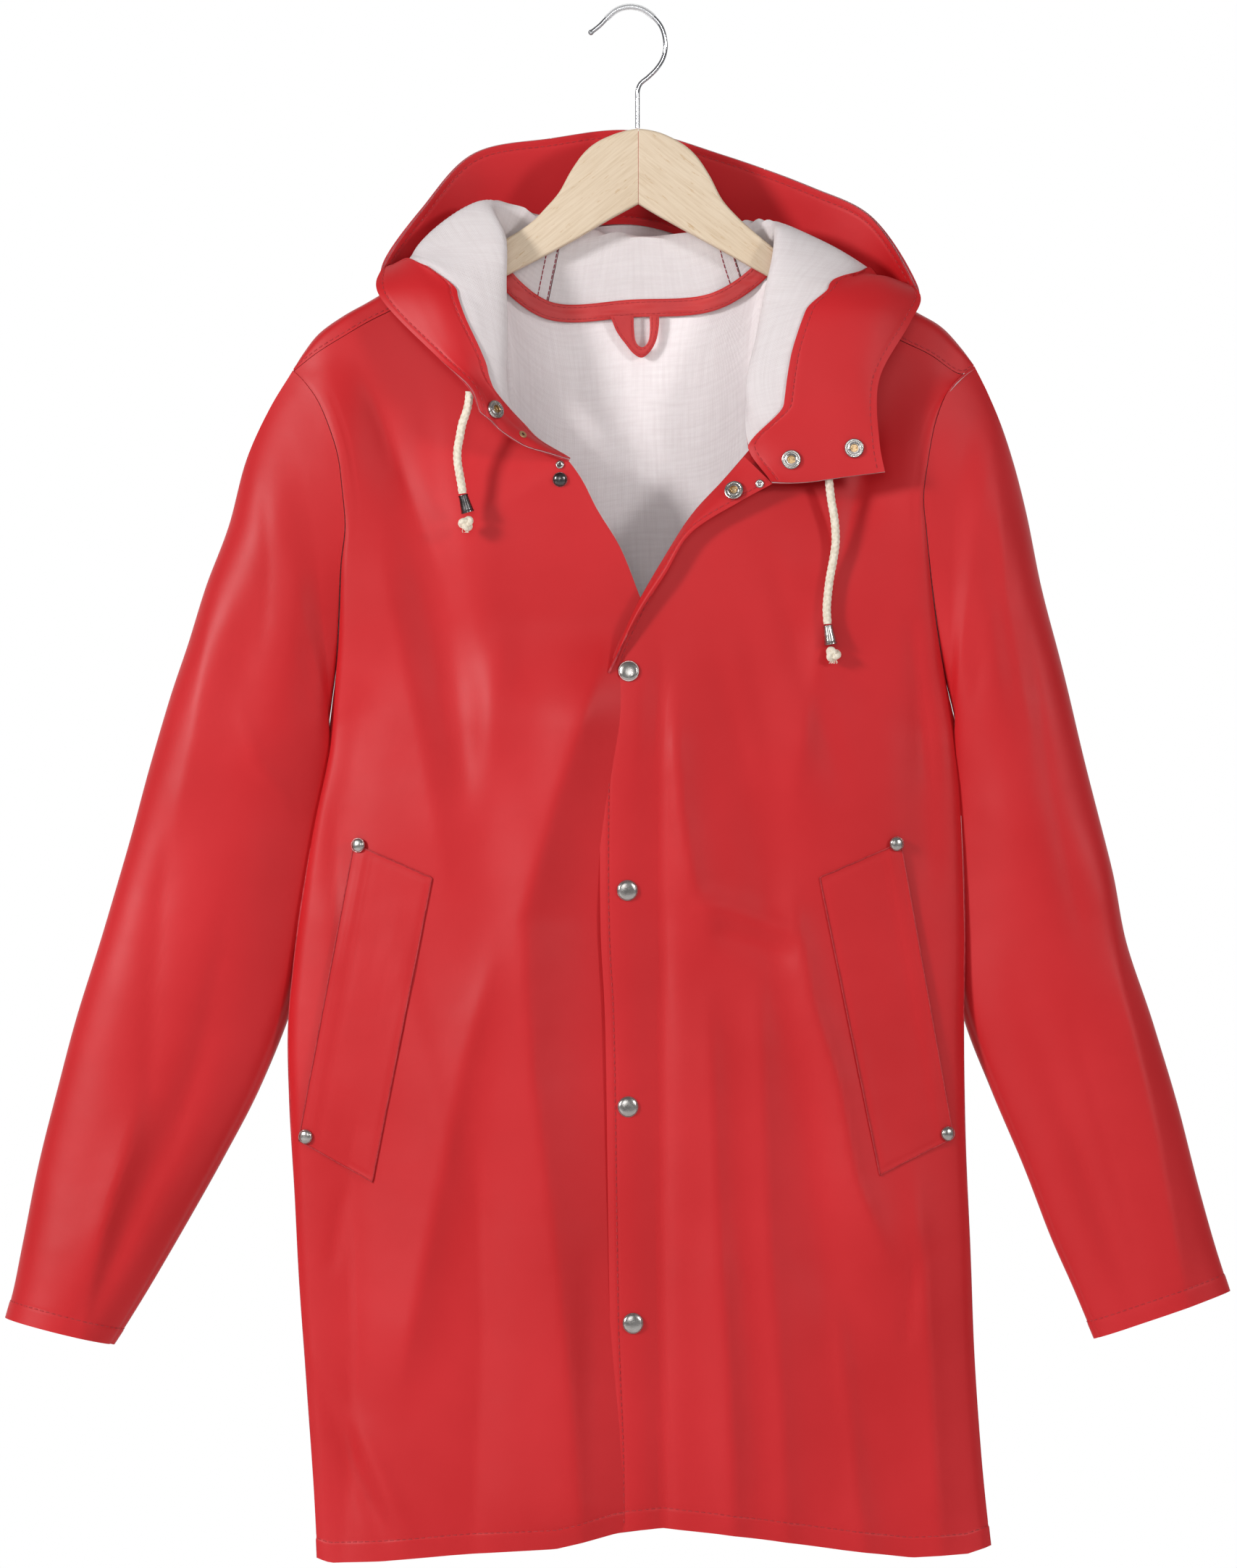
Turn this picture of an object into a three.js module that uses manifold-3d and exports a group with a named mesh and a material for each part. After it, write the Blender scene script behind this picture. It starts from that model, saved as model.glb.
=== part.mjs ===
// Hooded raincoat of rubberised cotton, hung open at the throat on a flat wooden hanger.
// Millimetres, +Z up, front towards -Y, origin at the inside top of the hanger's hook.
// "left" and "right" are the viewer's. Every cloth piece is a thin wall of its own.
import * as THREE from 'three';
import { mergeVertices } from 'three/addons/utils/BufferGeometryUtils.js';
import Module from 'manifold-3d';

// Driving dimensions
const CLOTH = 1.6;
const FACING = 1.2;
const FACING_GAP = 1.2;
const LAY_GAP = 0.35;
const POCKET_LIFT = CLOTH + 0.85;
const SEAM_GAP = 0.6;
const ARMHOLE_GAP = 1.6;
const SIDE_SEAM_Y = -6;
const SIDE_SEAM_HALF = 0.15;
const BACK_DEPTH = 36;
const RIDGE_HALF = 9;
const CAP_RADIUS = 7.5;
const CAP_HEIGHT = 2.6;
const SOCKET_RADIUS = 6.9;
const SOCKET_HOLE = 2.6;
const STUD_RADIUS = 5.5;
const RIVET_RADIUS = 5.3;
const EYELET_RADIUS = 3;
const EYELET_HOLE = 1.3;
const CORD_EYELET_RADIUS = 4.6;
const CORD_EYELET_HOLE = 2.4;
const CORD_RADIUS = 3;
const CORD_END_GAP = 0.7;
const WIRE_RADIUS = 1.65;
const HOOK_SLEEVE_RADIUS = 2.35;
const HOOK_SLEEVE_HOLE = 1.98;
const WOOD_THICKNESS = 12;
const WOOD_EDGE = 2.6;
const TAPE_HALF = 6.3;

const COLOURS = {
  coat: { color: 0xc8262c, roughness: 0.45, metalness: 0 },
  wood: { color: 0xe6cfa6, roughness: 0.6, metalness: 0 },
  steel: { color: 0xb9bcc0, roughness: 0.25, metalness: 1 },
  cord: { color: 0xe9e0cd, roughness: 0.9, metalness: 0 },
  sleeve: { color: 0xdfe3e6, roughness: 0.3, metalness: 0 },
};

// Edges of the body from armpit to hem corner, seen from the front
const SIDE_LEFT = [
  { x: -215, z: -512 }, { x: -217, z: -535 }, { x: -226, z: -577 }, { x: -234, z: -627 },
  { x: -241, z: -683 }, { x: -245, z: -728 }, { x: -244, z: -778 }, { x: -240, z: -850 },
  { x: -236, z: -925 }, { x: -228, z: -1032 }, { x: -224, z: -1108 },
];
const SIDE_RIGHT = [
  { x: 233, z: -512 }, { x: 236, z: -545 }, { x: 239, z: -610 }, { x: 240, z: -666 },
  { x: 239, z: -722 }, { x: 240, z: -800 }, { x: 243, z: -873 }, { x: 246, z: -953 },
  { x: 251, z: -1032 }, { x: 258, z: -1099 },
];
const HEM = [
  { x: -224, z: -1108 }, { x: -214, z: -1111 }, { x: -177, z: -1109 }, { x: -128, z: -1104 },
  { x: -53, z: -1098 }, { x: -10, z: -1087 }, { x: 23, z: -1084 }, { x: 63, z: -1088 },
  { x: 102, z: -1093 }, { x: 151, z: -1100 }, { x: 201, z: -1106 }, { x: 241, z: -1104 },
  { x: 258, z: -1099 },
];

// Armholes from shoulder tip to armpit: front and back depth on one outline
const ARMHOLE_LEFT = [
  { x: -241, z: -258, front: -3, back: 3 }, { x: -233, z: -266, front: -8, back: 8 },
  { x: -223, z: -280, front: -13, back: 14 }, { x: -214, z: -301, front: -18, back: 20 },
  { x: -208, z: -321, front: -22, back: 24 }, { x: -205, z: -345, front: -25, back: 27 },
  { x: -203, z: -371, front: -25, back: 28 }, { x: -206, z: -397, front: -23, back: 26 },
  { x: -209, z: -458, front: -15, back: 14 }, { x: -215, z: -512, front: -6, back: -6 },
];
const ARMHOLE_RIGHT = [
  { x: 246, z: -255, front: -3, back: 3 }, { x: 238, z: -261, front: -8, back: 8 },
  { x: 227, z: -273, front: -13, back: 14 }, { x: 218, z: -295, front: -18, back: 20 },
  { x: 212, z: -325, front: -23, back: 25 }, { x: 209, z: -350, front: -25, back: 28 },
  { x: 211, z: -373, front: -25, back: 28 }, { x: 215, z: -411, front: -22, back: 24 },
  { x: 220, z: -448, front: -17, back: 16 }, { x: 225, z: -476, front: -12, back: 8 },
  { x: 233, z: -512, front: -6, back: -6 },
];

// Top fold over each shoulder, and the seam in front of it, from tip to neck
const RIDGE_LEFT = [
  { x: -241, z: -257 }, { x: -234, z: -246 }, { x: -223, z: -232 }, { x: -205, z: -219 },
  { x: -187, z: -209 }, { x: -150, z: -187 }, { x: -100, z: -160 },
];
const RIDGE_RIGHT = [
  { x: 246, z: -254 }, { x: 237, z: -242 }, { x: 223, z: -227 }, { x: 208, z: -218 },
  { x: 185, z: -206 }, { x: 150, z: -188 }, { x: 104, z: -163 },
];
const SHOULDER_LEFT = [
  [-241, -3, -258.5], [-223, -9, -245], [-205, -11.5, -234], [-188, -12, -224],
  [-170, -12, -215], [-135, -11, -197],
];
const SHOULDER_RIGHT = [
  [246, -3, -255.5], [237, -8, -261], [214, -14, -247], [189, -16, -235],
  [150, -14, -212],
];

// Centre edges, hem to throat: the under front's cut edge and the over front's folded edge
const UNDER_EDGE = [
  [28, -30, -1085], [29, -31, -900], [29, -32, -700], [28, -32, -520], [20, -33, -452],
  [7, -34, -421], [-7, -35, -386], [-24, -36, -358], [-34, -36.5, -338],
];
const OVER_EDGE = [
  [-10, -36, -1087], [-11, -37, -1024], [-14, -38, -950], [-18, -38, -718], [-21, -38, -660],
  [-21, -38, -570], [-19, -38, -520], [-14, -38, -470], [3, -38, -430], [24, -38, -393],
  [44, -38, -362], [66, -37, -338],
];
const LAPEL_EDGE = [
  [-16, -41, -475], [3.5, -44, -438], [25, -46, -405], [42, -47, -377], [79, -47, -353],
  [101, -46.3, -341],
];

// Hood sections, from the left throat round the back of the neck to the right throat.
// Each runs from the neck seam over the roll and the crease, down behind the back to the
// bag and up to the rim. facing is the width of the strip inside the rim, null for all.
const HOOD = [
  { neck: [-43, -39, -325], roll: [-62, -46, -319], crease: [-77, -50, -314],
    fall: [-87, -54, -308], bag: [-95, -57, -302], back: [-101, -60, -296],
    rim: [-107, -62, -291], facing: null },
  { neck: [-70, -35, -308], roll: [-87, -46, -297], crease: [-94, -50, -290],
    fall: [-100, -54, -284], bag: [-105, -57, -280], back: [-109, -60, -277],
    rim: [-113, -62, -276], facing: null },
  { neck: [-87, -30, -282], roll: [-90, -44, -270], crease: [-103, -50, -258],
    fall: [-113, -52, -252], bag: [-121, -53, -249], back: [-129, -52, -248],
    rim: [-138, -50, -250], facing: 46 },
  { neck: [-94, -21, -240], roll: [-89, -37, -228], crease: [-110, -43, -214],
    fall: [-127, -42, -206], bag: [-140, -39, -202], back: [-155, -34, -201],
    rim: [-172, -26, -204], facing: 62 },
  { neck: [-97.5, -15, -208], roll: [-90, -31, -199], crease: [-134, -34, -187],
    fall: [-150, -20, -180], bag: [-160, -8, -181], back: [-167, -8, -185],
    rim: [-172.5, -13, -191], facing: 14 },
  { neck: [-99.5, -10.5, -174], roll: [-90, -23, -165], crease: [-148, -12, -170],
    fall: [-155, 12, -178], bag: [-161, 24, -201], back: [-167, 20, -188],
    rim: [-170, 1, -178], facing: 30 },
  { neck: [-100, 0, -159], roll: [-97, -8, -147], crease: [-108, 2, -138],
    fall: [-122, 20, -175], bag: [-132, 28, -222], back: [-142, 28, -185],
    rim: [-146, 12, -146], facing: 58 },
  { neck: [-96, 11.7, -182], roll: [-86, 10.5, -162], crease: [-76, 12, -142],
    fall: [-84, 33, -210], bag: [-92, 43, -295], back: [-100, 48, -200],
    rim: [-108, 26, -107], facing: 68 },
  { neck: [-60, 13, -214], roll: [-54, 11, -185], crease: [-47, 14, -154],
    fall: [-48, 35, -240], bag: [-50, 49, -345], back: [-53, 62, -230],
    rim: [-56, 36, -95], facing: 68 },
  { neck: [2, 14.5, -213], roll: [2, 12, -185], crease: [2, 15, -160],
    fall: [2, 37, -250], bag: [2, 51, -362], back: [2, 66, -240],
    rim: [2, 40, -87], facing: 68 },
  { neck: [62, 13, -207.5], roll: [55, 11, -185], crease: [50, 14, -159],
    fall: [52, 35, -245], bag: [54, 49, -350], back: [60, 62, -230],
    rim: [65, 36, -106], facing: 68 },
  { neck: [99, 11, -180], roll: [95, 10.5, -165], crease: [92, 12, -150],
    fall: [98, 33, -215], bag: [106, 44, -300], back: [118, 48, -210],
    rim: [126, 26, -130], facing: 68 },
  { neck: [104, 0, -161], roll: [105, -9, -157], crease: [120, -2, -159],
    fall: [136, 16, -192], bag: [148, 26, -238], back: [160, 28, -200],
    rim: [169, 12, -149], facing: 50 },
  { neck: [103.5, -10.5, -176], roll: [105, -23, -174], crease: [158, -12, -182],
    fall: [170, 11, -186], bag: [182, 26, -208], back: [193, 20, -200],
    rim: [202, -3, -190], facing: 14 },
  { neck: [98, -15, -206], roll: [99, -32, -203], crease: [138, -36, -203],
    fall: [160, -24, -196], bag: [180, -13, -194], back: [195, -12, -200],
    rim: [207, -15, -208], facing: 64 },
  { neck: [92, -22, -240], roll: [93, -38, -232], crease: [118, -44, -222],
    fall: [142, -43, -216], bag: [162, -40, -214], back: [180, -36, -216],
    rim: [197, -30, -228], facing: 66 },
  { neck: [84, -31, -280], roll: [85, -44, -274], crease: [108, -49, -268],
    fall: [128, -50, -265], bag: [146, -50, -264], back: [162, -49, -264],
    rim: [176, -46, -268], facing: 64 },
  { neck: [85, -37, -316], roll: [98, -44, -314], crease: [116, -48, -312],
    fall: [134, -49, -312], bag: [150, -50, -311], back: [165, -50, -311],
    rim: [177, -50, -312], facing: null },
  { neck: [100, -49, -341], roll: [114, -49, -341], crease: [128, -49, -340],
    fall: [142, -49.5, -338], bag: [156, -50, -336], back: [169, -51, -334.5],
    rim: [181, -52, -333], facing: null },
];
const NECK_LEFT = 6;
const NECK_RIGHT = 12;
const NECK_TURN = 0.85;
const OVER_TOP = 17;
const LAPEL_TOP = 0.965;
const LAPEL_SWELL = 3.2;
const MIDDLE_FROM = 7.55;
const MIDDLE_TO = 10.45;
const HOOD_ROWS = 18;
const HOOD_SPLIT = 0.016;
const HOOD_PIECES = [
  { name: 'hood_side_left', from: 0, to: MIDDLE_FROM - HOOD_SPLIT, columns: 17 },
  { name: 'hood_middle', from: MIDDLE_FROM + HOOD_SPLIT, to: MIDDLE_TO - HOOD_SPLIT, columns: 7 },
  { name: 'hood_side_right', from: MIDDLE_TO + HOOD_SPLIT, to: 18, columns: 17 },
];

// Sleeve sections from shoulder to cuff: both edges of the flat outline, how far the inner
// edge hangs behind the coat, and the half depth
const SLEEVE_LEFT = [
  { outer: [-257, -284], inner: [-219.5, -516], behind: -5, half: 26 },
  { outer: [-274, -321], inner: [-220, -520], behind: -2, half: 31 },
  { outer: [-287, -369], inner: [-219, -526], behind: 3, half: 35 },
  { outer: [-303, -411], inner: [-217.5, -534], behind: 7, half: 37 },
  { outer: [-316, -454], inner: [-217, -543], behind: 10, half: 38 },
  { outer: [-329, -492], inner: [-219, -560], behind: 11, half: 38 },
  { outer: [-343, -540], inner: [-224, -590], behind: 12, half: 37 },
  { outer: [-357, -591], inner: [-232, -636], behind: 12, half: 36 },
  { outer: [-377, -660], inner: [-241, -703], behind: 11, half: 35 },
  { outer: [-398, -728], inner: [-264, -770], behind: 8, half: 34 },
  { outer: [-412, -781], inner: [-290, -820], behind: 5, half: 33 },
  { outer: [-425, -835], inner: [-317, -869], behind: 3, half: 32 },
  { outer: [-434, -881], inner: [-341, -910], behind: 1, half: 31 },
  { outer: [-441, -915], inner: [-360, -941], behind: 0, half: 30 },
  { outer: [-447, -936], inner: [-369, -955], behind: 0, half: 30 },
];
const SLEEVE_RIGHT = [
  { outer: [256, -275], inner: [237.5, -516], behind: -5, half: 26 },
  { outer: [267, -302], inner: [238, -520], behind: -2, half: 31 },
  { outer: [283, -359], inner: [237, -526], behind: 3, half: 34 },
  { outer: [294, -413], inner: [235.5, -534], behind: 7, half: 35 },
  { outer: [306, -459], inner: [234, -545], behind: 10, half: 35 },
  { outer: [317, -503], inner: [235, -564], behind: 11, half: 34 },
  { outer: [328, -549], inner: [236, -597], behind: 12, half: 33 },
  { outer: [345, -616], inner: [237, -658], behind: 12, half: 31 },
  { outer: [355, -667], inner: [238, -713], behind: 11, half: 30 },
  { outer: [375, -728], inner: [258, -773], behind: 8, half: 28 },
  { outer: [393, -789], inner: [280, -824], behind: 5, half: 26 },
  { outer: [408, -847], inner: [300, -876], behind: 3, half: 24 },
  { outer: [421, -892], inner: [317, -915], behind: 1, half: 22 },
  { outer: [429, -917], inner: [332, -951], behind: 0, half: 20 },
];

// Soft troughs (depth above 0) and ridges of the fronts and the back, along straight lines
const FRONT_FOLDS = [
  { from: [-180, -245], to: [-105, -600], width: 16, depth: 5 },
  { from: [-120, -330], to: [-60, -700], width: 22, depth: -4 },
  { from: [-60, -420], to: [-140, -1000], width: 26, depth: 4 },
  { from: [-232, -945], to: [-172, -1100], width: 9, depth: 5 },
  { from: [-25, -880], to: [-30, -1090], width: 12, depth: 5 },
  { from: [-190, -480], to: [-215, -640], width: 14, depth: 4 },
  { from: [70, -420], to: [120, -760], width: 20, depth: 4 },
  { from: [120, -720], to: [165, -1090], width: 20, depth: 5 },
  { from: [55, -860], to: [75, -1085], width: 16, depth: -4 },
  { from: [205, -480], to: [215, -640], width: 14, depth: 4 },
  { from: [170, -300], to: [120, -480], width: 18, depth: 4 },
];
const BACK_FOLDS = [
  { from: [-170, -300], to: [-90, -800], width: 22, depth: 5 },
  { from: [160, -320], to: [110, -860], width: 24, depth: 5 },
  { from: [-40, -480], to: [-60, -1080], width: 26, depth: -5 },
  { from: [60, -620], to: [90, -1085], width: 22, depth: 5 },
  { from: [-150, -900], to: [-165, -1095], width: 16, depth: 5 },
  { from: [0, -760], to: [10, -1085], width: 20, depth: -4 },
];
// Creases of the sleeves: place along and round the sleeve as shares, both widths likewise
const SLEEVE_FOLDS = [
  { along: 0.8, round: 0.3, length: 0.16, width: 0.035, depth: 5 },
  { along: 0.3, round: 0.2, length: 0.12, width: 0.05, depth: 4 },
  { along: 0.55, round: 0.36, length: 0.2, width: 0.06, depth: 3 },
  { along: 0.45, round: 0.72, length: 0.2, width: 0.06, depth: 4 },
  { along: 0.75, round: 0.8, length: 0.16, width: 0.05, depth: 4 },
];

// Pocket welts, corner by corner from the upper rivet round to the lower one
const POCKET_LEFT = [[-197, -597], [-141, -621], [-184, -838], [-237, -809]];
const POCKET_RIGHT = [[193, -596], [135, -621], [178, -833], [231, -807]];
const RIVETS = [
  { front: 'under', x: -193, z: -598 }, { front: 'under', x: -231, z: -806 },
  { front: 'over', x: 189.5, z: -597 }, { front: 'over', x: 226, z: -804 },
];
// Fittings of the throat, each with the sheet it sits on
const SOCKETS = [
  { sheet: 'right', x: 115, z: -324 }, { sheet: 'right', x: 159, z: -316 },
  { sheet: 'lapel', x: 74, z: -346 }, { sheet: 'left', x: -98, z: -290 },
];
const STUD = { sheet: 'under', x: -50, z: -337.5 };
const EYELETS = [
  { sheet: 'lapel', x: 92, z: -341 }, { sheet: 'left', x: -78, z: -308 },
  { sheet: 'under', x: -50, z: -327 },
];
const CORD_EYELETS = { left: { x: -106, z: -279 }, right: { x: 141, z: -325 } };
const CAPS = [{ x: -1, z: -474 }, { x: -2, z: -630 }, { x: -1.5, z: -784 }, { x: 2, z: -938 }];

// Cord routes from the eyelet to the metal end, then the end's and the knot's places
const CORD_LEFT = {
  route: [[-113.9, -58.7, -276], [-114.7, -57.6, -284], [-116.5, -55.8, -291], [-119, -54.2, -298],
    [-121, -53.2, -308], [-122.6, -52.5, -317], [-122.6, -52, -325], [-121.2, -51.6, -334],
    [-119.8, -51.2, -342], [-119, -51, -348]],
  tip: [-115.3, -50.6, -361.5], knot: [-116.4, -50.4, -369.5],
};
const CORD_RIGHT = {
  route: [[141, -45.4, -330], [141.2, -45, -337], [142, -44.4, -345], [143.2, -43.8, -354],
    [145, -43.4, -364], [146, -43, -374], [146, -42.8, -384], [144.4, -42.6, -395],
    [142, -42.4, -408], [140.6, -42.2, -419], [139.8, -42, -430], [140.4, -42, -440.5]],
  tip: [142.8, -41.8, -455], knot: [144.2, -41.6, -462.3],
};

// Wire of the hook from its ball to the wood, in the plane of the hanger, and the share of it
// inside the clear sleeve
const HOOK = [
  [-28, -16], [-22, -11.3], [-16, -5.2], [-11, -0.8], [-6, 1.5], [0, 2.4], [5, 1.8], [10, 0],
  [18, -6.3], [23, -13.4], [25.4, -26], [23.6, -34.6], [19, -42], [13, -48], [7.4, -52.8],
  [5.5, -57.5], [5.3, -64], [5.3, -74], [5.3, -84.6],
];
const HOOK_SLEEVE = { from: 0.105, to: 0.375 };
const ARM_LEFT = [
  [5.7, -85.2], [-2, -86.4], [-11, -89], [-24, -95], [-33, -102.5], [-42, -115], [-51, -131],
  [-60, -141.5], [-71, -152.5], [-88, -163.5], [-130, -182.5], [-160, -197], [-186, -211.2],
  [-197, -217.5], [-203, -223], [-206, -231], [-203, -239], [-196, -242.5], [-180, -236],
  [-140, -215.5], [-88, -190], [-40, -165], [-18, -152], [5.7, -139],
];
const ARM_RIGHT = [
  [6, -85.2], [14, -86.2], [24, -89], [39, -97], [48, -105.5], [57, -119], [66, -136],
  [77, -148.5], [88, -158.5], [101, -169], [108, -174.5], [135, -187], [165, -200], [190, -212],
  [200, -217], [207, -223], [210, -231], [207, -239], [200, -242.5], [184, -235],
  [145, -214.5], [101, -192], [63, -171], [22, -148.5], [6, -139],
];

// Small helpers
const vec = (p) => new THREE.Vector3(p[0], p[1], p[2]);
const clamp01 = (t) => Math.min(1, Math.max(0, t));
const mix = (a, b, t) => a + (b - a) * t;
const smoothstep = (a, b, t) => {
  const k = clamp01((t - a) / (b - a));
  return k * k * (3 - 2 * k);
};

function spline(points) {
  return new THREE.CatmullRomCurve3(points.map(vec), false, 'centripetal');
}

// A path by length through close points
function path(points) {
  const reach = [0];
  for (let i = 1; i < points.length; i++) {
    reach.push(reach[i - 1] + points[i].distanceTo(points[i - 1]));
  }
  return (t) => {
    const goal = clamp01(t) * reach[reach.length - 1];
    let i = 1;
    while (i < reach.length - 1 && reach[i] < goal) i++;
    const share = (goal - reach[i - 1]) / (reach[i] - reach[i - 1]);
    return points[i - 1].clone().lerp(points[i], clamp01(share));
  };
}

function dense(points, steps = 120) {
  return spline(points).getSpacedPoints(steps);
}

// Height of an outline table at x
function heightAt(table, x) {
  const last = table.length - 1;
  let i = 1;
  while (i < last && Math.abs(table[i].x - table[0].x) < Math.abs(x - table[0].x)) i++;
  const a = table[i - 1];
  const b = table[i];
  return mix(a.z, b.z, clamp01((x - a.x) / (b.x - a.x)));
}

// Surfaces as lists of points and four-sided cells
function grid(at, across, along, closed = false) {
  const points = [];
  const cells = [];
  const columns = closed ? across : across + 1;
  for (let j = 0; j <= along; j++) {
    for (let i = 0; i < columns; i++) points.push(at(i / across, j / along));
  }
  for (let j = 0; j < along; j++) {
    for (let i = 0; i < across; i++) {
      const k = (i + 1) % columns;
      cells.push([j * columns + i, j * columns + k, (j + 1) * columns + k, (j + 1) * columns + i]);
    }
  }
  return { points, cells };
}

// Surfaces sewn into one where their points meet
function joined(surfaces) {
  const points = [];
  const cells = [];
  const known = new Map();
  for (const surface of surfaces) {
    const index = surface.points.map((p) => {
      const key = [p.x, p.y, p.z].map((c) => Math.round(c * 50)).join(' ');
      if (!known.has(key)) {
        known.set(key, points.length);
        points.push(p);
      }
      return known.get(key);
    });
    for (const cell of surface.cells) cells.push(cell.map((i) => index[i]));
  }
  return { points, cells };
}

function pointNormals({ points, cells }) {
  const normals = points.map(() => new THREE.Vector3());
  for (const [a, b, c, d] of cells) {
    const first = points[c].clone().sub(points[a]);
    const face = first.cross(points[d].clone().sub(points[b]));
    for (const i of [a, b, c, d]) normals[i].add(face);
  }
  return normals.map((n) => n.normalize());
}

// At the side seams both walls end square to the seam
function squareAtSide(point, normal) {
  const near = Math.abs(Math.abs(point.y - SIDE_SEAM_Y) - SIDE_SEAM_HALF) < 0.02;
  if (near && Math.abs(point.x) > 200) normal.setY(0).normalize();
}

// A wall whose outer face is the surface and whose inner face lies thickness behind it
function wall(surface, thickness, outward = 1, square = () => {}) {
  const cells = outward > 0 ? surface.cells : surface.cells.map((cell) => [...cell].reverse());
  const outer = surface.points;
  const normals = pointNormals({ points: outer, cells });
  normals.forEach((normal, i) => square(outer[i], normal));
  const inner = outer.map((p, i) => p.clone().addScaledVector(normals[i], -thickness));
  const count = outer.length;
  const faces = [];
  const edges = new Map();
  const quad = (a, b, c, d) => faces.push([a, b, c], [a, c, d]);
  for (const cell of cells) {
    quad(...cell);
    quad(...[...cell].reverse().map((i) => i + count));
    cell.forEach((a, k) => edges.set(`${a} ${cell[(k + 1) % 4]}`, [a, cell[(k + 1) % 4]]));
  }
  for (const [a, b] of edges.values()) {
    if (!edges.has(`${b} ${a}`)) quad(b, a, a + count, b + count);
  }
  return solidGeometry([...outer, ...inner], faces);
}

function solidGeometry(points, faces) {
  const geometry = new THREE.BufferGeometry();
  const positions = new Float32Array(points.length * 3);
  points.forEach((p, i) => positions.set([p.x, p.y, p.z], i * 3));
  geometry.setAttribute('position', new THREE.BufferAttribute(positions, 3));
  geometry.setIndex(faces.flat());
  geometry.computeVertexNormals();
  return geometry;
}

// Folds: how far a point is pushed in by each line of a table
function foldAt(folds, x, z) {
  let push = 0;
  for (const { from, to, width, depth } of folds) {
    const [dx, dz] = [to[0] - from[0], to[1] - from[1]];
    const length = Math.hypot(dx, dz);
    const along = ((x - from[0]) * dx + (z - from[1]) * dz) / (length * length);
    const off = ((x - from[0]) * dz - (z - from[1]) * dx) / length;
    const ends = smoothstep(-0.05, 0.25, along) * smoothstep(1.1, 0.75, along);
    push += depth * ends * Math.exp(-(off * off) / (width * width));
  }
  return push;
}

// Hood surface: s counts sections, t runs from neck seam to rim
const HOOD_COLUMNS = ['neck', 'roll', 'crease', 'fall', 'bag', 'back', 'rim'];
const hoodSections = HOOD.map((row) => spline(HOOD_COLUMNS.map((name) => row[name])));
const hoodLast = HOOD.length - 1;
const hoodLines = new Map();

function hoodLine(t) {
  const key = t.toFixed(5);
  if (!hoodLines.has(key)) {
    const line = hoodSections.map((section) => section.getPoint(t));
    hoodLines.set(key, new THREE.CatmullRomCurve3(line, false, 'centripetal'));
  }
  return hoodLines.get(key);
}

function hoodAt(s, t) {
  return hoodLine(clamp01(t)).getPoint(clamp01(s / hoodLast));
}

// How far along its section each step of t lies
const HOOD_STEPS = 60;
const hoodReaches = new Map();

function hoodReach(s) {
  const key = s.toFixed(5);
  if (!hoodReaches.has(key)) {
    const reach = [0];
    for (let i = 0; i < HOOD_STEPS; i++) {
      const span = hoodAt(s, i / HOOD_STEPS).distanceTo(hoodAt(s, (i + 1) / HOOD_STEPS));
      reach.push(reach[i] + span);
    }
    hoodReaches.set(key, reach);
  }
  return hoodReaches.get(key);
}

function hoodLength(s) {
  return hoodReach(s)[HOOD_STEPS];
}

// The t at a share of the section's length
function hoodShare(s, share) {
  const reach = hoodReach(s);
  const goal = clamp01(share) * reach[HOOD_STEPS];
  let i = 1;
  while (i < HOOD_STEPS && reach[i] < goal) i++;
  return (i - 1 + (goal - reach[i - 1]) / (reach[i] - reach[i - 1])) / HOOD_STEPS;
}

function neckSeam(s) {
  return hoodAt(s, 0);
}

// Body fronts and back
const sidePoints = (side, y) => side.map(({ x, z }) => [x, y, z]);

function outerEdge(side, armhole, depth) {
  const apart = depth === 'front' ? -SIDE_SEAM_HALF : SIDE_SEAM_HALF;
  const body = dense([...sidePoints(side, SIDE_SEAM_Y + apart)].reverse(), 90);
  const arm = dense([...armhole].reverse().map((row) => [row.x, row[depth] + apart, row.z]), 60);
  return path([...body, ...arm.slice(1)]);
}

// The panels' side of the neck seam: behind the hood's edge at the front and outside it at
// the back, so that the two lap
function panelNeck(s) {
  const middle = (NECK_LEFT + NECK_RIGHT) / 2;
  const half = (NECK_RIGHT - NECK_LEFT) / 2;
  const back = smoothstep(half + NECK_TURN, half - 0.1, Math.abs(s - middle));
  const point = neckSeam(s);
  point.y += LAY_GAP + back * (CLOTH + LAY_GAP);
  point.x *= 1 + 0.024 * back;
  return point;
}

function neckPoints(from, to, steps = 40) {
  const points = [];
  for (let i = 0; i <= steps; i++) points.push(panelNeck(mix(from, to, i / steps)));
  return points;
}

function quarter(u) {
  return 1 - Math.cos((u * Math.PI) / 2);
}

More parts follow.
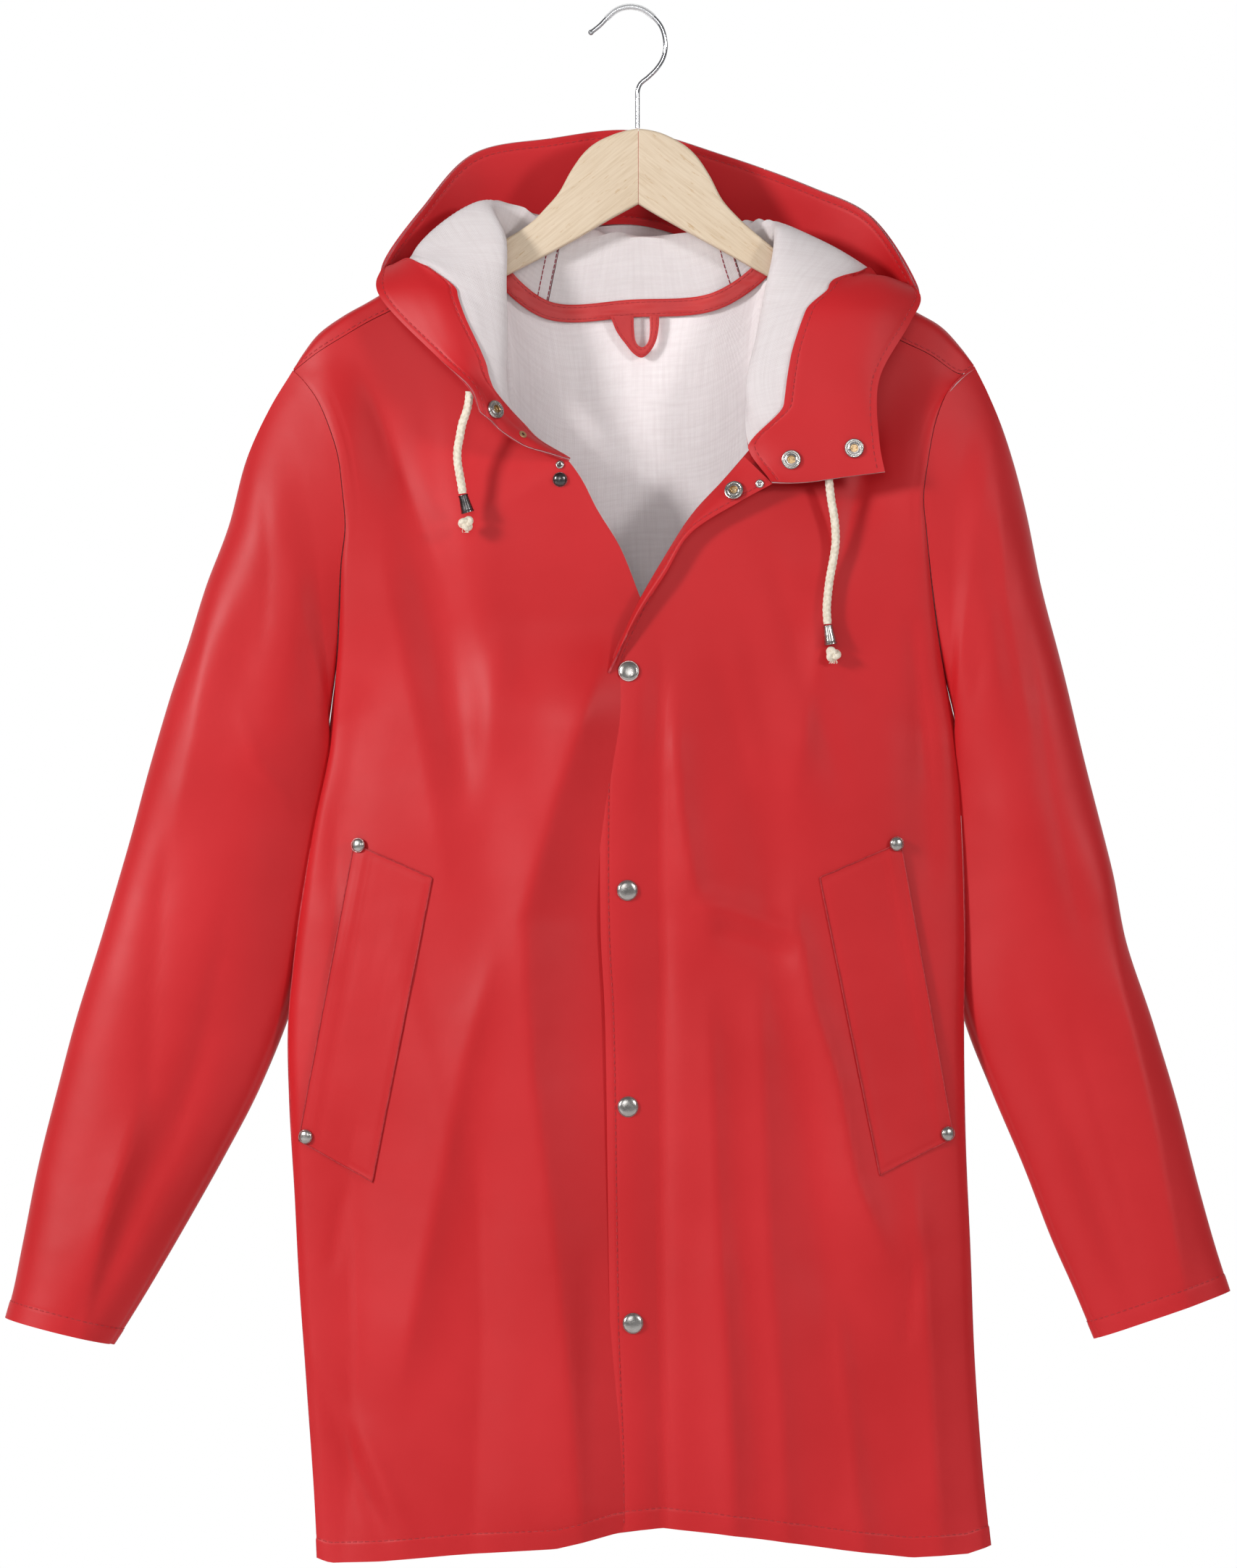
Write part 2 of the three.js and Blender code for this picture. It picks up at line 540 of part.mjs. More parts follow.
function frontPanel({ side, armhole, edge, neckFrom, shoulder }) {
  const outer = outerEdge(side, armhole, 'front');
  const neckTo = neckFrom < NECK_LEFT ? NECK_LEFT - NECK_TURN : NECK_RIGHT + NECK_TURN;
  const neck = neckPoints(neckFrom, neckTo);
  const inner = path([...dense([...edge, neck[0].toArray()], 100), ...neck.slice(1)]);
  const seam = path(dense([...shoulder, neck[neck.length - 1].toArray()], 60));
  const drop = new THREE.Vector3(0, -LAY_GAP, -SEAM_GAP - 1.1);
  const bottom = (u) => {
    const x = mix(outer(0).x, inner(0).x, quarter(u));
    return new THREE.Vector3(x, 0, heightAt(HEM, x));
  };
  return (u, v) => {
    const w = quarter(u);
    const point = bottom(u).multiplyScalar(1 - v).addScaledVector(seam(w), v);
    const low = bottom(0).multiplyScalar(1 - v).addScaledVector(seam(0), v);
    const high = bottom(1).multiplyScalar(1 - v).addScaledVector(seam(1), v);
    point.addScaledVector(outer(v).sub(low), 1 - w).addScaledVector(inner(v).sub(high), w);
    const round = mix(outer(v).y, inner(v).y, Math.sin((u * Math.PI) / 2));
    const rim = Math.sin(Math.PI * clamp01(u)) * smoothstep(1, 0.86, v);
    point.y = mix(round, seam(w).y, smoothstep(0.78, 1, v));
    point.y += foldAt(FRONT_FOLDS, point.x, point.z) * rim;
    return point.addScaledVector(drop, smoothstep(0.9, 1, v));
  };
}

const frontUnder = frontPanel({
  side: SIDE_LEFT, armhole: ARMHOLE_LEFT, edge: UNDER_EDGE, neckFrom: 0,
  shoulder: SHOULDER_LEFT,
});
const frontOver = frontPanel({
  side: SIDE_RIGHT, armhole: ARMHOLE_RIGHT, edge: OVER_EDGE, neckFrom: OVER_TOP,
  shoulder: SHOULDER_RIGHT,
});

// Back: one grid up to the ridge, and a strip rolled over each shoulder to the front seam
const BACK_COLUMNS = 21;
const SHOULDER_SHARE = 1 / 3;
const STRIP_FRONT = 0.68;

function ridgeBack(ridge, neck) {
  const points = ridge.slice(0, -1).map(({ x, z }, i) => {
    const open = Math.min(1, i / 2);
    return [x, mix(3, RIDGE_HALF, open), z - mix(1.5, 3, open)];
  });
  return path(dense([...points, neck.toArray()], 60));
}

const backNeckFrom = NECK_LEFT + NECK_TURN;
const backNeckTo = NECK_RIGHT - NECK_TURN;
const backNeck = path(neckPoints(backNeckFrom, backNeckTo, 80));
const ridgeBackLeft = ridgeBack(RIDGE_LEFT, backNeck(0));
const ridgeBackRight = ridgeBack(RIDGE_RIGHT, backNeck(1));

function backTop(u) {
  if (u <= SHOULDER_SHARE) return ridgeBackLeft(u / SHOULDER_SHARE);
  if (u >= 1 - SHOULDER_SHARE) return ridgeBackRight((1 - u) / SHOULDER_SHARE);
  return backNeck((u - SHOULDER_SHARE) / (1 - 2 * SHOULDER_SHARE));
}

const backLeft = outerEdge(SIDE_LEFT, ARMHOLE_LEFT, 'back');
const backRight = outerEdge(SIDE_RIGHT, ARMHOLE_RIGHT, 'back');

function backAt(u, v) {
  const w = (1 - Math.cos(u * Math.PI)) / 2;
  const bottom = (k) => {
    const x = mix(backLeft(0).x, backRight(0).x, k);
    return new THREE.Vector3(x, 0, heightAt(HEM, x));
  };
  const point = bottom(w).multiplyScalar(1 - v).addScaledVector(backTop(u), v);
  const low = bottom(0).multiplyScalar(1 - v).addScaledVector(backTop(0), v);
  const high = bottom(1).multiplyScalar(1 - v).addScaledVector(backTop(1), v);
  point.addScaledVector(backLeft(v).sub(low), 1 - w).addScaledVector(backRight(v).sub(high), w);
  const edge = mix(backLeft(v).y, backRight(v).y, w);
  const round = edge + (BACK_DEPTH - edge) * Math.sin(u * Math.PI) * 0.98;
  const flat = mix(round, backTop(u).y, smoothstep(0.7, 1, v));
  const rim = Math.sin(u * Math.PI) * smoothstep(1, 0.8, v);
  point.y = flat - foldAt(BACK_FOLDS, point.x, point.z) * rim;
  return point;
}

function shoulderStrip(ridge, shoulder, ridgeEdge, neckEnd, frontNeck, fromLeft) {
  const top = path(dense([...ridge.map(({ x, z }) => [x, 0, z])], 60));
  const seam = path(dense([...shoulder, frontNeck.toArray()], 60));
  const peak = panelNeck(neckEnd);
  return (a, b) => {
    const t = fromLeft ? a : 1 - a;
    const crest = top(t).lerp(peak, smoothstep(0.9, 1, t));
    const back = ridgeEdge(t);
    const front = seam(t);
    const full = smoothstep(1, 0.93, t);
    const drop = mix(0.5, 0.06, full);
    const between = (p, share) => crest.clone().lerp(p, share).setZ(mix(crest.z, p.z, drop));
    const forward = between(front, mix(0.5, STRIP_FRONT, full));
    const rows = [back, between(back, 0.5), crest, forward, front];
    return new THREE.CatmullRomCurve3(rows, false, 'centripetal').getPointAt(clamp01(b));
  };
}

function backSurface() {
  const rows = 20;
  const main = grid(backAt, BACK_COLUMNS, rows);
  const topRow = (u) => backAt(u, 1);
  const strips = [
    { ridge: RIDGE_LEFT, shoulder: SHOULDER_LEFT, end: NECK_LEFT, front: NECK_LEFT - NECK_TURN,
      left: true },
    { ridge: RIDGE_RIGHT, shoulder: SHOULDER_RIGHT, end: NECK_RIGHT, front: NECK_RIGHT + NECK_TURN,
      left: false },
  ].map(({ ridge, shoulder, end, front, left }) => {
    const ridgeEdge = (t) => topRow(left ? t * SHOULDER_SHARE : 1 - t * SHOULDER_SHARE);
    const strip = shoulderStrip(ridge, shoulder, ridgeEdge, end, panelNeck(front), left);
    return grid(strip, BACK_COLUMNS * SHOULDER_SHARE, 4);
  });
  return joined([main, ...strips]);
}

// Sleeves: the armhole's loop eased into the ovals of the table
function sleeveAt(table, armhole, away) {
  const front = path(dense(armhole.map((row) => [row.x, row.front, row.z]), 80));
  const back = path(dense(armhole.map((row) => [row.x, row.back, row.z]), 80));
  const first = {
    outer: [armhole[0].x, armhole[0].z],
    inner: [armhole[armhole.length - 1].x, armhole[armhole.length - 1].z],
    behind: SIDE_SEAM_Y, half: 26,
  };
  const rows = [first, ...table];
  const column = (pick) => spline(rows.map(pick));
  const outer = column(({ outer: [x, z] }) => [x, 0, z]);
  const inner = column(({ inner: [x, z], behind }) => [x, behind, z]);
  const half = column((row, i) => [row.half, 0, i]);
  const oval = (angle, v) => {
    const o = outer.getPoint(v);
    const i = inner.getPoint(v);
    const share = (1 - Math.cos(angle)) / 2;
    const point = o.lerp(i, share);
    point.y -= half.getPoint(v).x * Math.sin(angle);
    return point;
  };
  return (u, v) => {
    const angle = u * 2 * Math.PI;
    const point = oval(angle, v);
    const lift = smoothstep(0.3, 0, v);
    if (lift > 0) {
      const ring = angle <= Math.PI ? front(angle / Math.PI) : back(2 - angle / Math.PI);
      const easing = Math.pow(1 - v / 0.3, 2);
      point.addScaledVector(ring.sub(oval(angle, 0)), easing);
    }
    point.x += away * ARMHOLE_GAP;
    point.z -= ARMHOLE_GAP / 2;
    let push = 0;
    for (const fold of SLEEVE_FOLDS) {
      const far = ((v - fold.along) / fold.length) ** 2 + ((u - fold.round) / fold.width) ** 2;
      push += fold.depth * Math.exp(-far);
    }
    point.y += push * (angle < Math.PI ? 1 : -1) * Math.abs(Math.sin(angle));
    return point;
  };
}

const sleeveLeftAt = sleeveAt(SLEEVE_LEFT, ARMHOLE_LEFT, -1);
const sleeveRightAt = sleeveAt(SLEEVE_RIGHT, ARMHOLE_RIGHT, 1);

// Places on a surface
function tangents(at, u, v) {
  const step = 1e-3;
  const du = at(u + step, v).sub(at(u - step, v));
  const dv = at(u, v + step).sub(at(u, v - step));
  return { du, dv };
}

// The panel's point in front of x and z, with the normal towards the viewer
function onPanel(at, x, z) {
  let [u, v, best] = [0.5, 0.5, Infinity];
  for (let i = 1; i < 30; i++) {
    for (let j = 1; j < 30; j++) {
      const p = at(i / 30, j / 30);
      const miss = Math.hypot(p.x - x, p.z - z);
      if (miss < best) [u, v, best] = [i / 30, j / 30, miss];
    }
  }
  for (let pass = 0; pass < 12; pass++) {
    const p = at(u, v);
    const { du, dv } = tangents(at, u, v);
    const scale = 500;
    const [a, b, c, d] = [du.x * scale, dv.x * scale, du.z * scale, dv.z * scale];
    const det = a * d - b * c;
    const [ex, ez] = [x - p.x, z - p.z];
    u = Math.min(0.999, Math.max(0.001, u + (d * ex - b * ez) / det));
    v = Math.min(0.999, Math.max(0.001, v + (a * ez - c * ex) / det));
  }
  const { du, dv } = tangents(at, u, v);
  const normal = du.cross(dv).normalize();
  if (normal.y > 0) normal.negate();
  return { point: at(u, v), normal };
}

function insideHood(s, t, lift) {
  const step = 2e-3;
  const ds = hoodAt(Math.min(hoodLast, s + step * hoodLast), t);
  ds.sub(hoodAt(Math.max(0, s - step * hoodLast), t));
  const dt = hoodAt(s, Math.min(1, t + step)).sub(hoodAt(s, Math.max(0, t - step)));
  const normal = ds.cross(dt).normalize();
  return { point: hoodAt(s, t).addScaledVector(normal, CLOTH + lift), normal };
}

// Lathed fittings, axis along the surface normal
function turned(profile, sides, { point, normal }, lift) {
  const geometry = new THREE.LatheGeometry(profile.map(([r, h]) => new THREE.Vector2(r, h)), sides);
  const turn = new THREE.Quaternion().setFromUnitVectors(new THREE.Vector3(0, 1, 0), normal);
  geometry.applyQuaternion(turn);
  const place = point.clone().addScaledVector(normal, lift);
  geometry.translate(place.x, place.y, place.z);
  return geometry;
}

function domeProfile(radius, height) {
  const lip = height * 0.3;
  return [[0, 0], [radius * 0.94, 0], [radius, lip * 0.5], [radius * 0.97, lip],
    [radius * 0.8, height * 0.72], [radius * 0.45, height * 0.95], [0, height]];
}

function ringProfile(radius, hole, height) {
  return [[hole, 0], [radius, 0], [radius, height * 0.5], [radius * 0.86, height],
    [hole * 1.25, height], [hole, height * 0.6], [hole, 0]];
}

// Boolean join of closed geometries
const wasm = await Module();
wasm.setup();

function asSolid(geometry) {
  const bare = geometry.clone();
  bare.deleteAttribute('normal');
  bare.deleteAttribute('uv');
  const merged = mergeVertices(bare, 1e-4);
  const vertProperties = Float32Array.from(merged.attributes.position.array);
  const triVerts = Uint32Array.from(merged.index.array);
  return new wasm.Manifold(new wasm.Mesh({ numProp: 3, vertProperties, triVerts }));
}

function asGeometry(solid) {
  const { vertProperties, triVerts, numProp } = solid.getMesh();
  const geometry = new THREE.BufferGeometry();
  const positions = new Float32Array((vertProperties.length / numProp) * 3);
  for (let i = 0; i < positions.length / 3; i++) {
    for (let k = 0; k < 3; k++) positions[i * 3 + k] = vertProperties[i * numProp + k];
  }
  geometry.setAttribute('position', new THREE.BufferAttribute(positions, 3));
  geometry.setIndex(Array.from(triVerts));
  geometry.computeVertexNormals();
  return geometry;
}

// Tubes along a route
function circle(radius, sides) {
  const shape = new THREE.Shape();
  for (let i = 0; i < sides; i++) {
    const angle = (i / sides) * 2 * Math.PI;
    shape[i ? 'lineTo' : 'moveTo'](radius * Math.cos(angle), radius * Math.sin(angle));
  }
  shape.closePath();
  return shape;
}

function tube(route, radius, sides, steps, hole = 0) {
  const shape = circle(radius, sides);
  if (hole) shape.holes.push(circle(hole, sides));
  return new THREE.ExtrudeGeometry(shape, { extrudePath: spline(route), steps, bevelEnabled: false });
}

// Nodes
const coat = new THREE.Group();

function add(name, geometry, look) {
  const mesh = new THREE.Mesh(geometry, new THREE.MeshStandardMaterial(COLOURS[look]));
  mesh.name = name;
  coat.add(mesh);
}

function addBody() {
  add('front_under', wall(grid(frontUnder, 11, 22), CLOTH, 1, squareAtSide), 'coat');
  add('front_over', wall(grid(frontOver, 11, 22), CLOTH, -1, squareAtSide), 'coat');
  add('back_panel', wall(backSurface(), CLOTH, -1, squareAtSide), 'coat');
}

function addSleeves() {
  add('sleeve_left', wall(grid(sleeveLeftAt, 18, 16, true), CLOTH), 'coat');
  add('sleeve_right', wall(grid(sleeveRightAt, 18, 16, true), CLOTH, -1), 'coat');
}

function hoodPiece(from, to, columns, thickness) {
  const at = (u, v) => {
    const s = mix(from, to, u);
    const lift = (SEAM_GAP + 0.4) / hoodLength(s);
    return hoodAt(s, hoodShare(s, mix(lift, 1, v)));
  };
  return wall(grid(at, columns, HOOD_ROWS), thickness, -1);
}

function addHood() {
  for (const { name, from, to, columns } of HOOD_PIECES) {
    add(name, hoodPiece(from, to, columns, CLOTH), 'coat');
  }
}

// Strip inside the rim
function addFacing() {
  const clear = 0.012;
  const widthOf = (row, length) => Math.min(row.facing ?? length - TAPE_HALF, length - 4);
  const at = (u, v) => {
    const s = mix(clear, hoodLast - clear, u);
    const low = Math.min(Math.floor(s), hoodLast - 1);
    const length = hoodLength(s);
    const width = mix(widthOf(HOOD[low], length), widthOf(HOOD[low + 1], length), s - low);
    const t = hoodShare(s, mix(1 - width / length, 1 - 0.6 / length, v));
    return insideHood(s, t, FACING_GAP).point;
  };
  let strip = asSolid(wall(grid(at, 52, 5), FACING, -1));
  for (const { from, to, columns } of HOOD_PIECES) {
    for (const thickness of [CLOTH, CLOTH + LAY_GAP]) {
      strip = strip.subtract(asSolid(hoodPiece(from, to, columns, thickness)));
    }
  }
  const parts = strip.decompose().sort((a, b) => b.volume() - a.volume());
  add('hood_facing', asGeometry(parts[0]), 'coat');
}

// Tape over the back neck seam, on the side towards the viewer
function addTape() {
  const [from, to] = [NECK_LEFT + 1.2, NECK_RIGHT - 1.2];
  const at = (u, v) => {
    const s = mix(from, to, u);
    const point = neckSeam(s);
    const along = neckSeam(s + 0.02).sub(neckSeam(s - 0.02)).normalize();
    const across = (v - 0.5) * 2 * TAPE_HALF;
    point.x -= along.z * across;
    point.z += along.x * across;
    point.y -= CLOTH + 0.9 + Math.abs(across) * 0.06;
    return point;
  };
  add('neck_tape', wall(grid(at, 20, 2), FACING, -1), 'coat');
}

function addLoop() {
  const shape = new THREE.Shape();
  shape.moveTo(-17.5, 0);
  shape.lineTo(17.5, 0);
  shape.quadraticCurveTo(16, -18, 9, -25.5);
  shape.quadraticCurveTo(4, -30, -1, -26);
  shape.quadraticCurveTo(-12, -16, -17.5, 0);
  const hole = new THREE.Path();
  hole.absellipse(4.5, -11.5, 5, 9.5, 0, 2 * Math.PI, false, 0);
  shape.holes.push(hole);
  const geometry = new THREE.ExtrudeGeometry(shape, {
    depth: FACING, bevelEnabled: false, curveSegments: 7,
  });
  geometry.rotateX(Math.PI / 2 + 0.05);
  geometry.translate(3.2, 9.3, -219.8);
  add('hanging_loop', geometry, 'coat');
}

// The over front's top corner turned out along its folded edge
const lapelRoll = path(dense([...OVER_EDGE.slice(-5), panelNeck(OVER_TOP).toArray()], 80));
const lapelFree = path(dense(LAPEL_EDGE, 60));

function lapelAt(u, v) {
  const point = lapelRoll(v * LAPEL_TOP).lerp(lapelFree(v), mix(0.02, 1, u));
  const swell = Math.sin(Math.PI * u) * smoothstep(0, 0.3, v);
  point.y -= LAPEL_SWELL * swell + CLOTH + LAY_GAP;
  return point;
}

function addLapel() {
  add('front_lapel', wall(grid(lapelAt, 4, 12), CLOTH, 1), 'coat');
}

function addPockets() {
  const pockets = [
    { name: 'pocket_left', corners: POCKET_LEFT, panel: frontUnder, outward: -1 },
    { name: 'pocket_right', corners: POCKET_RIGHT, panel: frontOver, outward: 1 },
  ];
  for (const { name, corners, panel, outward } of pockets) {
    const [a, b, c, d] = corners;
    const at = (u, v) => {
      const x = mix(mix(a[0], b[0], u), mix(d[0], c[0], u), v);
      const z = mix(mix(a[1], b[1], u), mix(d[1], c[1], u), v);
      const { point, normal } = onPanel(panel, x, z);
      return point.addScaledVector(normal, POCKET_LIFT);
    };
    add(name, wall(grid(at, 4, 8), CLOTH, outward), 'coat');
  }
}

function addFittings() {
  const panels = { under: frontUnder, over: frontOver };
  RIVETS.forEach(({ front, x, z }, i) => {
    const seat = onPanel(panels[front], x, z);
    const dome = turned(domeProfile(RIVET_RADIUS, 3), 10, seat, POCKET_LIFT + 1.5 * LAY_GAP);
    add(`pocket_rivet_${i + 1}`, dome, 'steel');
  });
  CAPS.forEach(({ x, z }, i) => {
    const seat = onPanel(frontOver, x, z);
    add(`snap_cap_${i + 1}`, turned(domeProfile(CAP_RADIUS, CAP_HEIGHT), 12, seat, LAY_GAP), 'steel');
  });
}

// The sheet that shows around a fitting, and how far its face lies above the surface
const hoodPatch = (from, to) => (u, v) => hoodAt(mix(from, to, u), mix(0.2, 1, v));
const FACED = CLOTH + FACING_GAP + FACING + LAY_GAP;
const SHEETS = {
  left: { at: hoodPatch(0, 2.5), lift: FACED },
  right: { at: hoodPatch(15.5, 18), lift: FACED },
  lapel: { at: lapelAt, lift: 2 * LAY_GAP },
  under: { at: frontUnder, lift: LAY_GAP },
};

function addThroat() {
  SOCKETS.forEach(({ sheet, x, z }, i) => {
    const { at, lift } = SHEETS[sheet];
    const ring = turned(ringProfile(SOCKET_RADIUS, SOCKET_HOLE, 2.4), 12, onPanel(at, x, z), lift);
    add(`snap_socket_${i + 1}`, ring, 'steel');
  });
  const stud = onPanel(SHEETS[STUD.sheet].at, STUD.x, STUD.z);
  add('snap_stud', turned(domeProfile(STUD_RADIUS, 3.4), 12, stud, LAY_GAP), 'steel');
  EYELETS.forEach(({ sheet, x, z }, i) => {
    const { at, lift } = SHEETS[sheet];
    const ring = turned(ringProfile(EYELET_RADIUS, EYELET_HOLE, 1), 10, onPanel(at, x, z), lift);
    add(`eyelet_${i + 1}`, ring, 'steel');
  });
  for (const [side, { x, z }] of Object.entries(CORD_EYELETS)) {
    const seat = onPanel(SHEETS[side].at, x, z);
    seat.normal.negate();
    const cordRing = ringProfile(CORD_EYELET_RADIUS, CORD_EYELET_HOLE, 0.8);
    const ring = turned(cordRing, 12, seat, 2 * LAY_GAP);
    add(`cord_eyelet_${side}`, ring, 'steel');
  }
}

function addCords() {
  const cords = [{ side: 'left', ...CORD_LEFT }, { side: 'right', ...CORD_RIGHT }];
  for (const { side, route, tip, knot } of cords) {
    add(`cord_${side}`, tube(route, CORD_RADIUS, 8, route.length + 2), 'cord');
    const start = vec(route[route.length - 1]);
    const axis = vec(tip).sub(start).normalize();
    const seat = { point: start, normal: axis };
    const length = vec(tip).distanceTo(start);
    const cone = [[0, 0], [3.1, 0], [3.5, 1], [4.7, length - 0.8], [4.5, length], [0, length]];
    add(`cord_end_${side}`, turned(cone, 12, seat, CORD_END_GAP), 'steel');
    const ball = new THREE.IcosahedronGeometry(6.6, 2);
    const lump = ball.attributes.position;
    for (let i = 0; i < lump.count; i++) {
      const p = new THREE.Vector3().fromBufferAttribute(lump, i);
      p.multiplyScalar(1 + 0.06 * Math.sin(p.x * 1.1 + p.z) * Math.cos(p.y * 0.9));
      lump.setXYZ(i, p.x, p.y * 0.85, p.z * 0.95);
    }
    ball.translate(...knot);
    add(`cord_knot_${side}`, asGeometry(asSolid(ball)), 'cord');
  }
}

function addHanger() {
  const arms = [{ name: 'hanger_arm_left', outline: ARM_LEFT },
    { name: 'hanger_arm_right', outline: ARM_RIGHT }];
  for (const { name, outline } of arms) {
    const shape = new THREE.Shape(outline.map(([x, z]) => new THREE.Vector2(x, z)));
    const geometry = new THREE.ExtrudeGeometry(shape, {
      depth: WOOD_THICKNESS - 2 * WOOD_EDGE, bevelThickness: WOOD_EDGE, bevelSize: WOOD_EDGE,
      bevelOffset: -WOOD_EDGE, bevelSegments: 1,
    });
    geometry.translate(0, 0, -WOOD_THICKNESS / 2 + WOOD_EDGE);
    geometry.rotateX(Math.PI / 2);
    add(name, geometry, 'wood');
  }
  const route = HOOK.map(([x, z]) => [x, 0, z]);
  const ball = new THREE.SphereGeometry(WIRE_RADIUS * 1.25, 10, 8);
  ball.translate(...route[0]);
  const wire = asSolid(tube(route, WIRE_RADIUS, 8, 30)).add(asSolid(ball));
  add('hook', asGeometry(wire), 'steel');
  const bend = spline(route);
  const covered = [];
  for (let i = 0; i <= 10; i++) {
    covered.push(bend.getPointAt(mix(HOOK_SLEEVE.from, HOOK_SLEEVE.to, i / 10)).toArray());
  }
  add('hook_sleeve', tube(covered, HOOK_SLEEVE_RADIUS, 8, 10, HOOK_SLEEVE_HOLE), 'sleeve');
}

addBody();
addSleeves();
addHood();
addFacing();
addTape();
addLoop();
addLapel();
addPockets();
addFittings();
addThroat();
addCords();
addHanger();

export default coat;
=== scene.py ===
"""Looks of the hooded raincoat on its wooden hanger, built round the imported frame.

Lengths in the tables are millimetres in the part's frame. Meshes are made in metres.
Left and right are the viewer's.
"""
import math

import bpy
import numpy as np
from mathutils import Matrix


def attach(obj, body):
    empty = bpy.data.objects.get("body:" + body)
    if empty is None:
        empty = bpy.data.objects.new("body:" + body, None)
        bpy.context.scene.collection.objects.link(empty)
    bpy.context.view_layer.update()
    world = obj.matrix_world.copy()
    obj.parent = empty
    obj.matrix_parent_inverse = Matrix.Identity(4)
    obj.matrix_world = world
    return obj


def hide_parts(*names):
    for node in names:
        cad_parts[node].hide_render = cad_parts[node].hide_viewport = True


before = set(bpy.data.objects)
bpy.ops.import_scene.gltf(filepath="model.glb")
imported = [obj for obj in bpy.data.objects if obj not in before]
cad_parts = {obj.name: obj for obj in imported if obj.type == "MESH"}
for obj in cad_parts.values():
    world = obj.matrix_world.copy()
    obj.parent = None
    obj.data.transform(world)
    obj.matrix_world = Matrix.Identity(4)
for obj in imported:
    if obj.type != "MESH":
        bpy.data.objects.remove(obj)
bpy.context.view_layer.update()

# Sizes in millimetres
MM = 0.001
CLOTH = 1.5
FACING = 1.1
FACING_GAP = 0.5
LAY_GAP = 0.3
ARMHOLE_GAP = 0.5
SIDE_SEAM_Y = -6
SIDE_SEAM_HALF = 0.1
RIDGE_HALF = 9
BACK_DEPTH = 36
LAPEL_SWELL = 3.2
TAPE_HALF = 6.3
TAPE_CLEAR = 0.9
LOOP_CLOTH = 1.2
LOOP_TOP = -219.8
LOOP_DEEP = 8.1
SLEEVE_TUCK = 7.5
HEM_STITCH = 14.5
PLACKET_STITCH = 6.2
RIM_STITCH = 5
CUFF_STITCH = 13
TAPE_STITCH = 2.2
LOOP_STITCH = 1.8
LAPEL_STITCH = 3.4
SHOULDER_STITCH = 2.2
POCKET_FLAT = 0.75
POCKET_CLOTH = 0.6
POCKET_SUNK = 0.45
RIVET_LIFT = 1.8
CAP_LIFT = 0.3
RING_LIFT = 0.6
WIRE_RADIUS = 1.65
CORD_RADIUS = 3
# Places counted along the hood's sections
NECK_LEFT = 6
NECK_RIGHT = 12
NECK_TURN = 0.85
OVER_TOP = 17
MIDDLE_FROM = 8.0
MIDDLE_TO = 10.45
# Shares and slopes
SHOULDER_SHARE = 1 / 3
STRIP_FRONT = 0.68
LAPEL_TOP = 0.965
TAPE_ROLL = 0.06
LOOP_LEAN = 0.05
SLEEVE_EASING = 0.3
# Lines pressed beside a pocket's edges: distance in, width, depth
OPENING_LINES = ((12, 0.9, 0.45), (2.4, 0.7, 0.40))
CLOSED_LINE = (2.6, 0.7, 0.40)

# Side edge of the body, armpit to hem: x, z
SIDE_LEFT = (
    (-215, -512), (-217, -535), (-226, -577), (-234, -627), (-241, -683), (-245, -728),
    (-244, -778), (-240, -850), (-236, -925), (-228, -1032), (-224, -1108),
)
# The same on the right
SIDE_RIGHT = (
    (233, -512), (236, -545), (239, -610), (240, -666), (239, -722), (240, -800), (243, -873),
    (246, -953), (251, -1032), (258, -1099),
)
# Hem from the left to the right: x, z
HEM = (
    (-224, -1108), (-214, -1111), (-177, -1109), (-128, -1104), (-53, -1098), (-10, -1087),
    (23, -1084), (63, -1088), (102, -1093), (151, -1100), (201, -1106), (241, -1104),
    (258, -1099),
)
# Armhole, shoulder tip to armpit: x, z, depth of the front, depth of the back
ARMHOLE_LEFT = (
    (-241, -258, -3, 3), (-233, -266, -10, 8), (-223, -280, -17, 14), (-214, -301, -23, 20),
    (-208, -321, -27, 24), (-205, -345, -29, 27), (-203, -371, -29, 28), (-206, -397, -27, 26),
    (-209, -458, -18, 14), (-215, -512, -6, -6),
)
# The same on the right
ARMHOLE_RIGHT = (
    (246, -255, -3, 3), (238, -261, -10, 8), (227, -273, -17, 14), (218, -295, -23, 20),
    (212, -325, -28, 25), (209, -350, -29, 28), (211, -373, -29, 28), (215, -411, -26, 24),
    (220, -448, -20, 16), (225, -476, -13, 8), (233, -512, -6, -6),
)
# Top fold over the shoulder, tip to neck: x, z
RIDGE_LEFT = (
    (-241, -257), (-234, -246), (-223, -232), (-205, -219), (-187, -209), (-150, -187),
    (-100, -160),
)
# Shoulder seam in front of the fold: x, y, z
SHOULDER_LEFT = (
    (-241, -3, -258.5), (-223, -9, -245), (-205, -11.5, -234), (-188, -12, -224),
    (-170, -12, -215), (-135, -11, -197),
)
# The top fold on the right
RIDGE_RIGHT = (
    (246, -254), (237, -242), (223, -227), (208, -218), (185, -206), (150, -188), (104, -163),
)
# The shoulder seam on the right
SHOULDER_RIGHT = (
    (246, -3, -255.5), (237, -8, -261), (214, -14, -247), (189, -16, -235), (150, -14, -212),
)
# Cut edge of the under front, hem to throat: x, y, z
UNDER_EDGE = (
    (28, -30, -1085), (29, -31, -900), (29, -32, -700), (28, -32, -520), (20, -33, -452),
    (7, -34, -421), (-7, -35, -386), (-24, -36, -358), (-34, -36.5, -338),
)
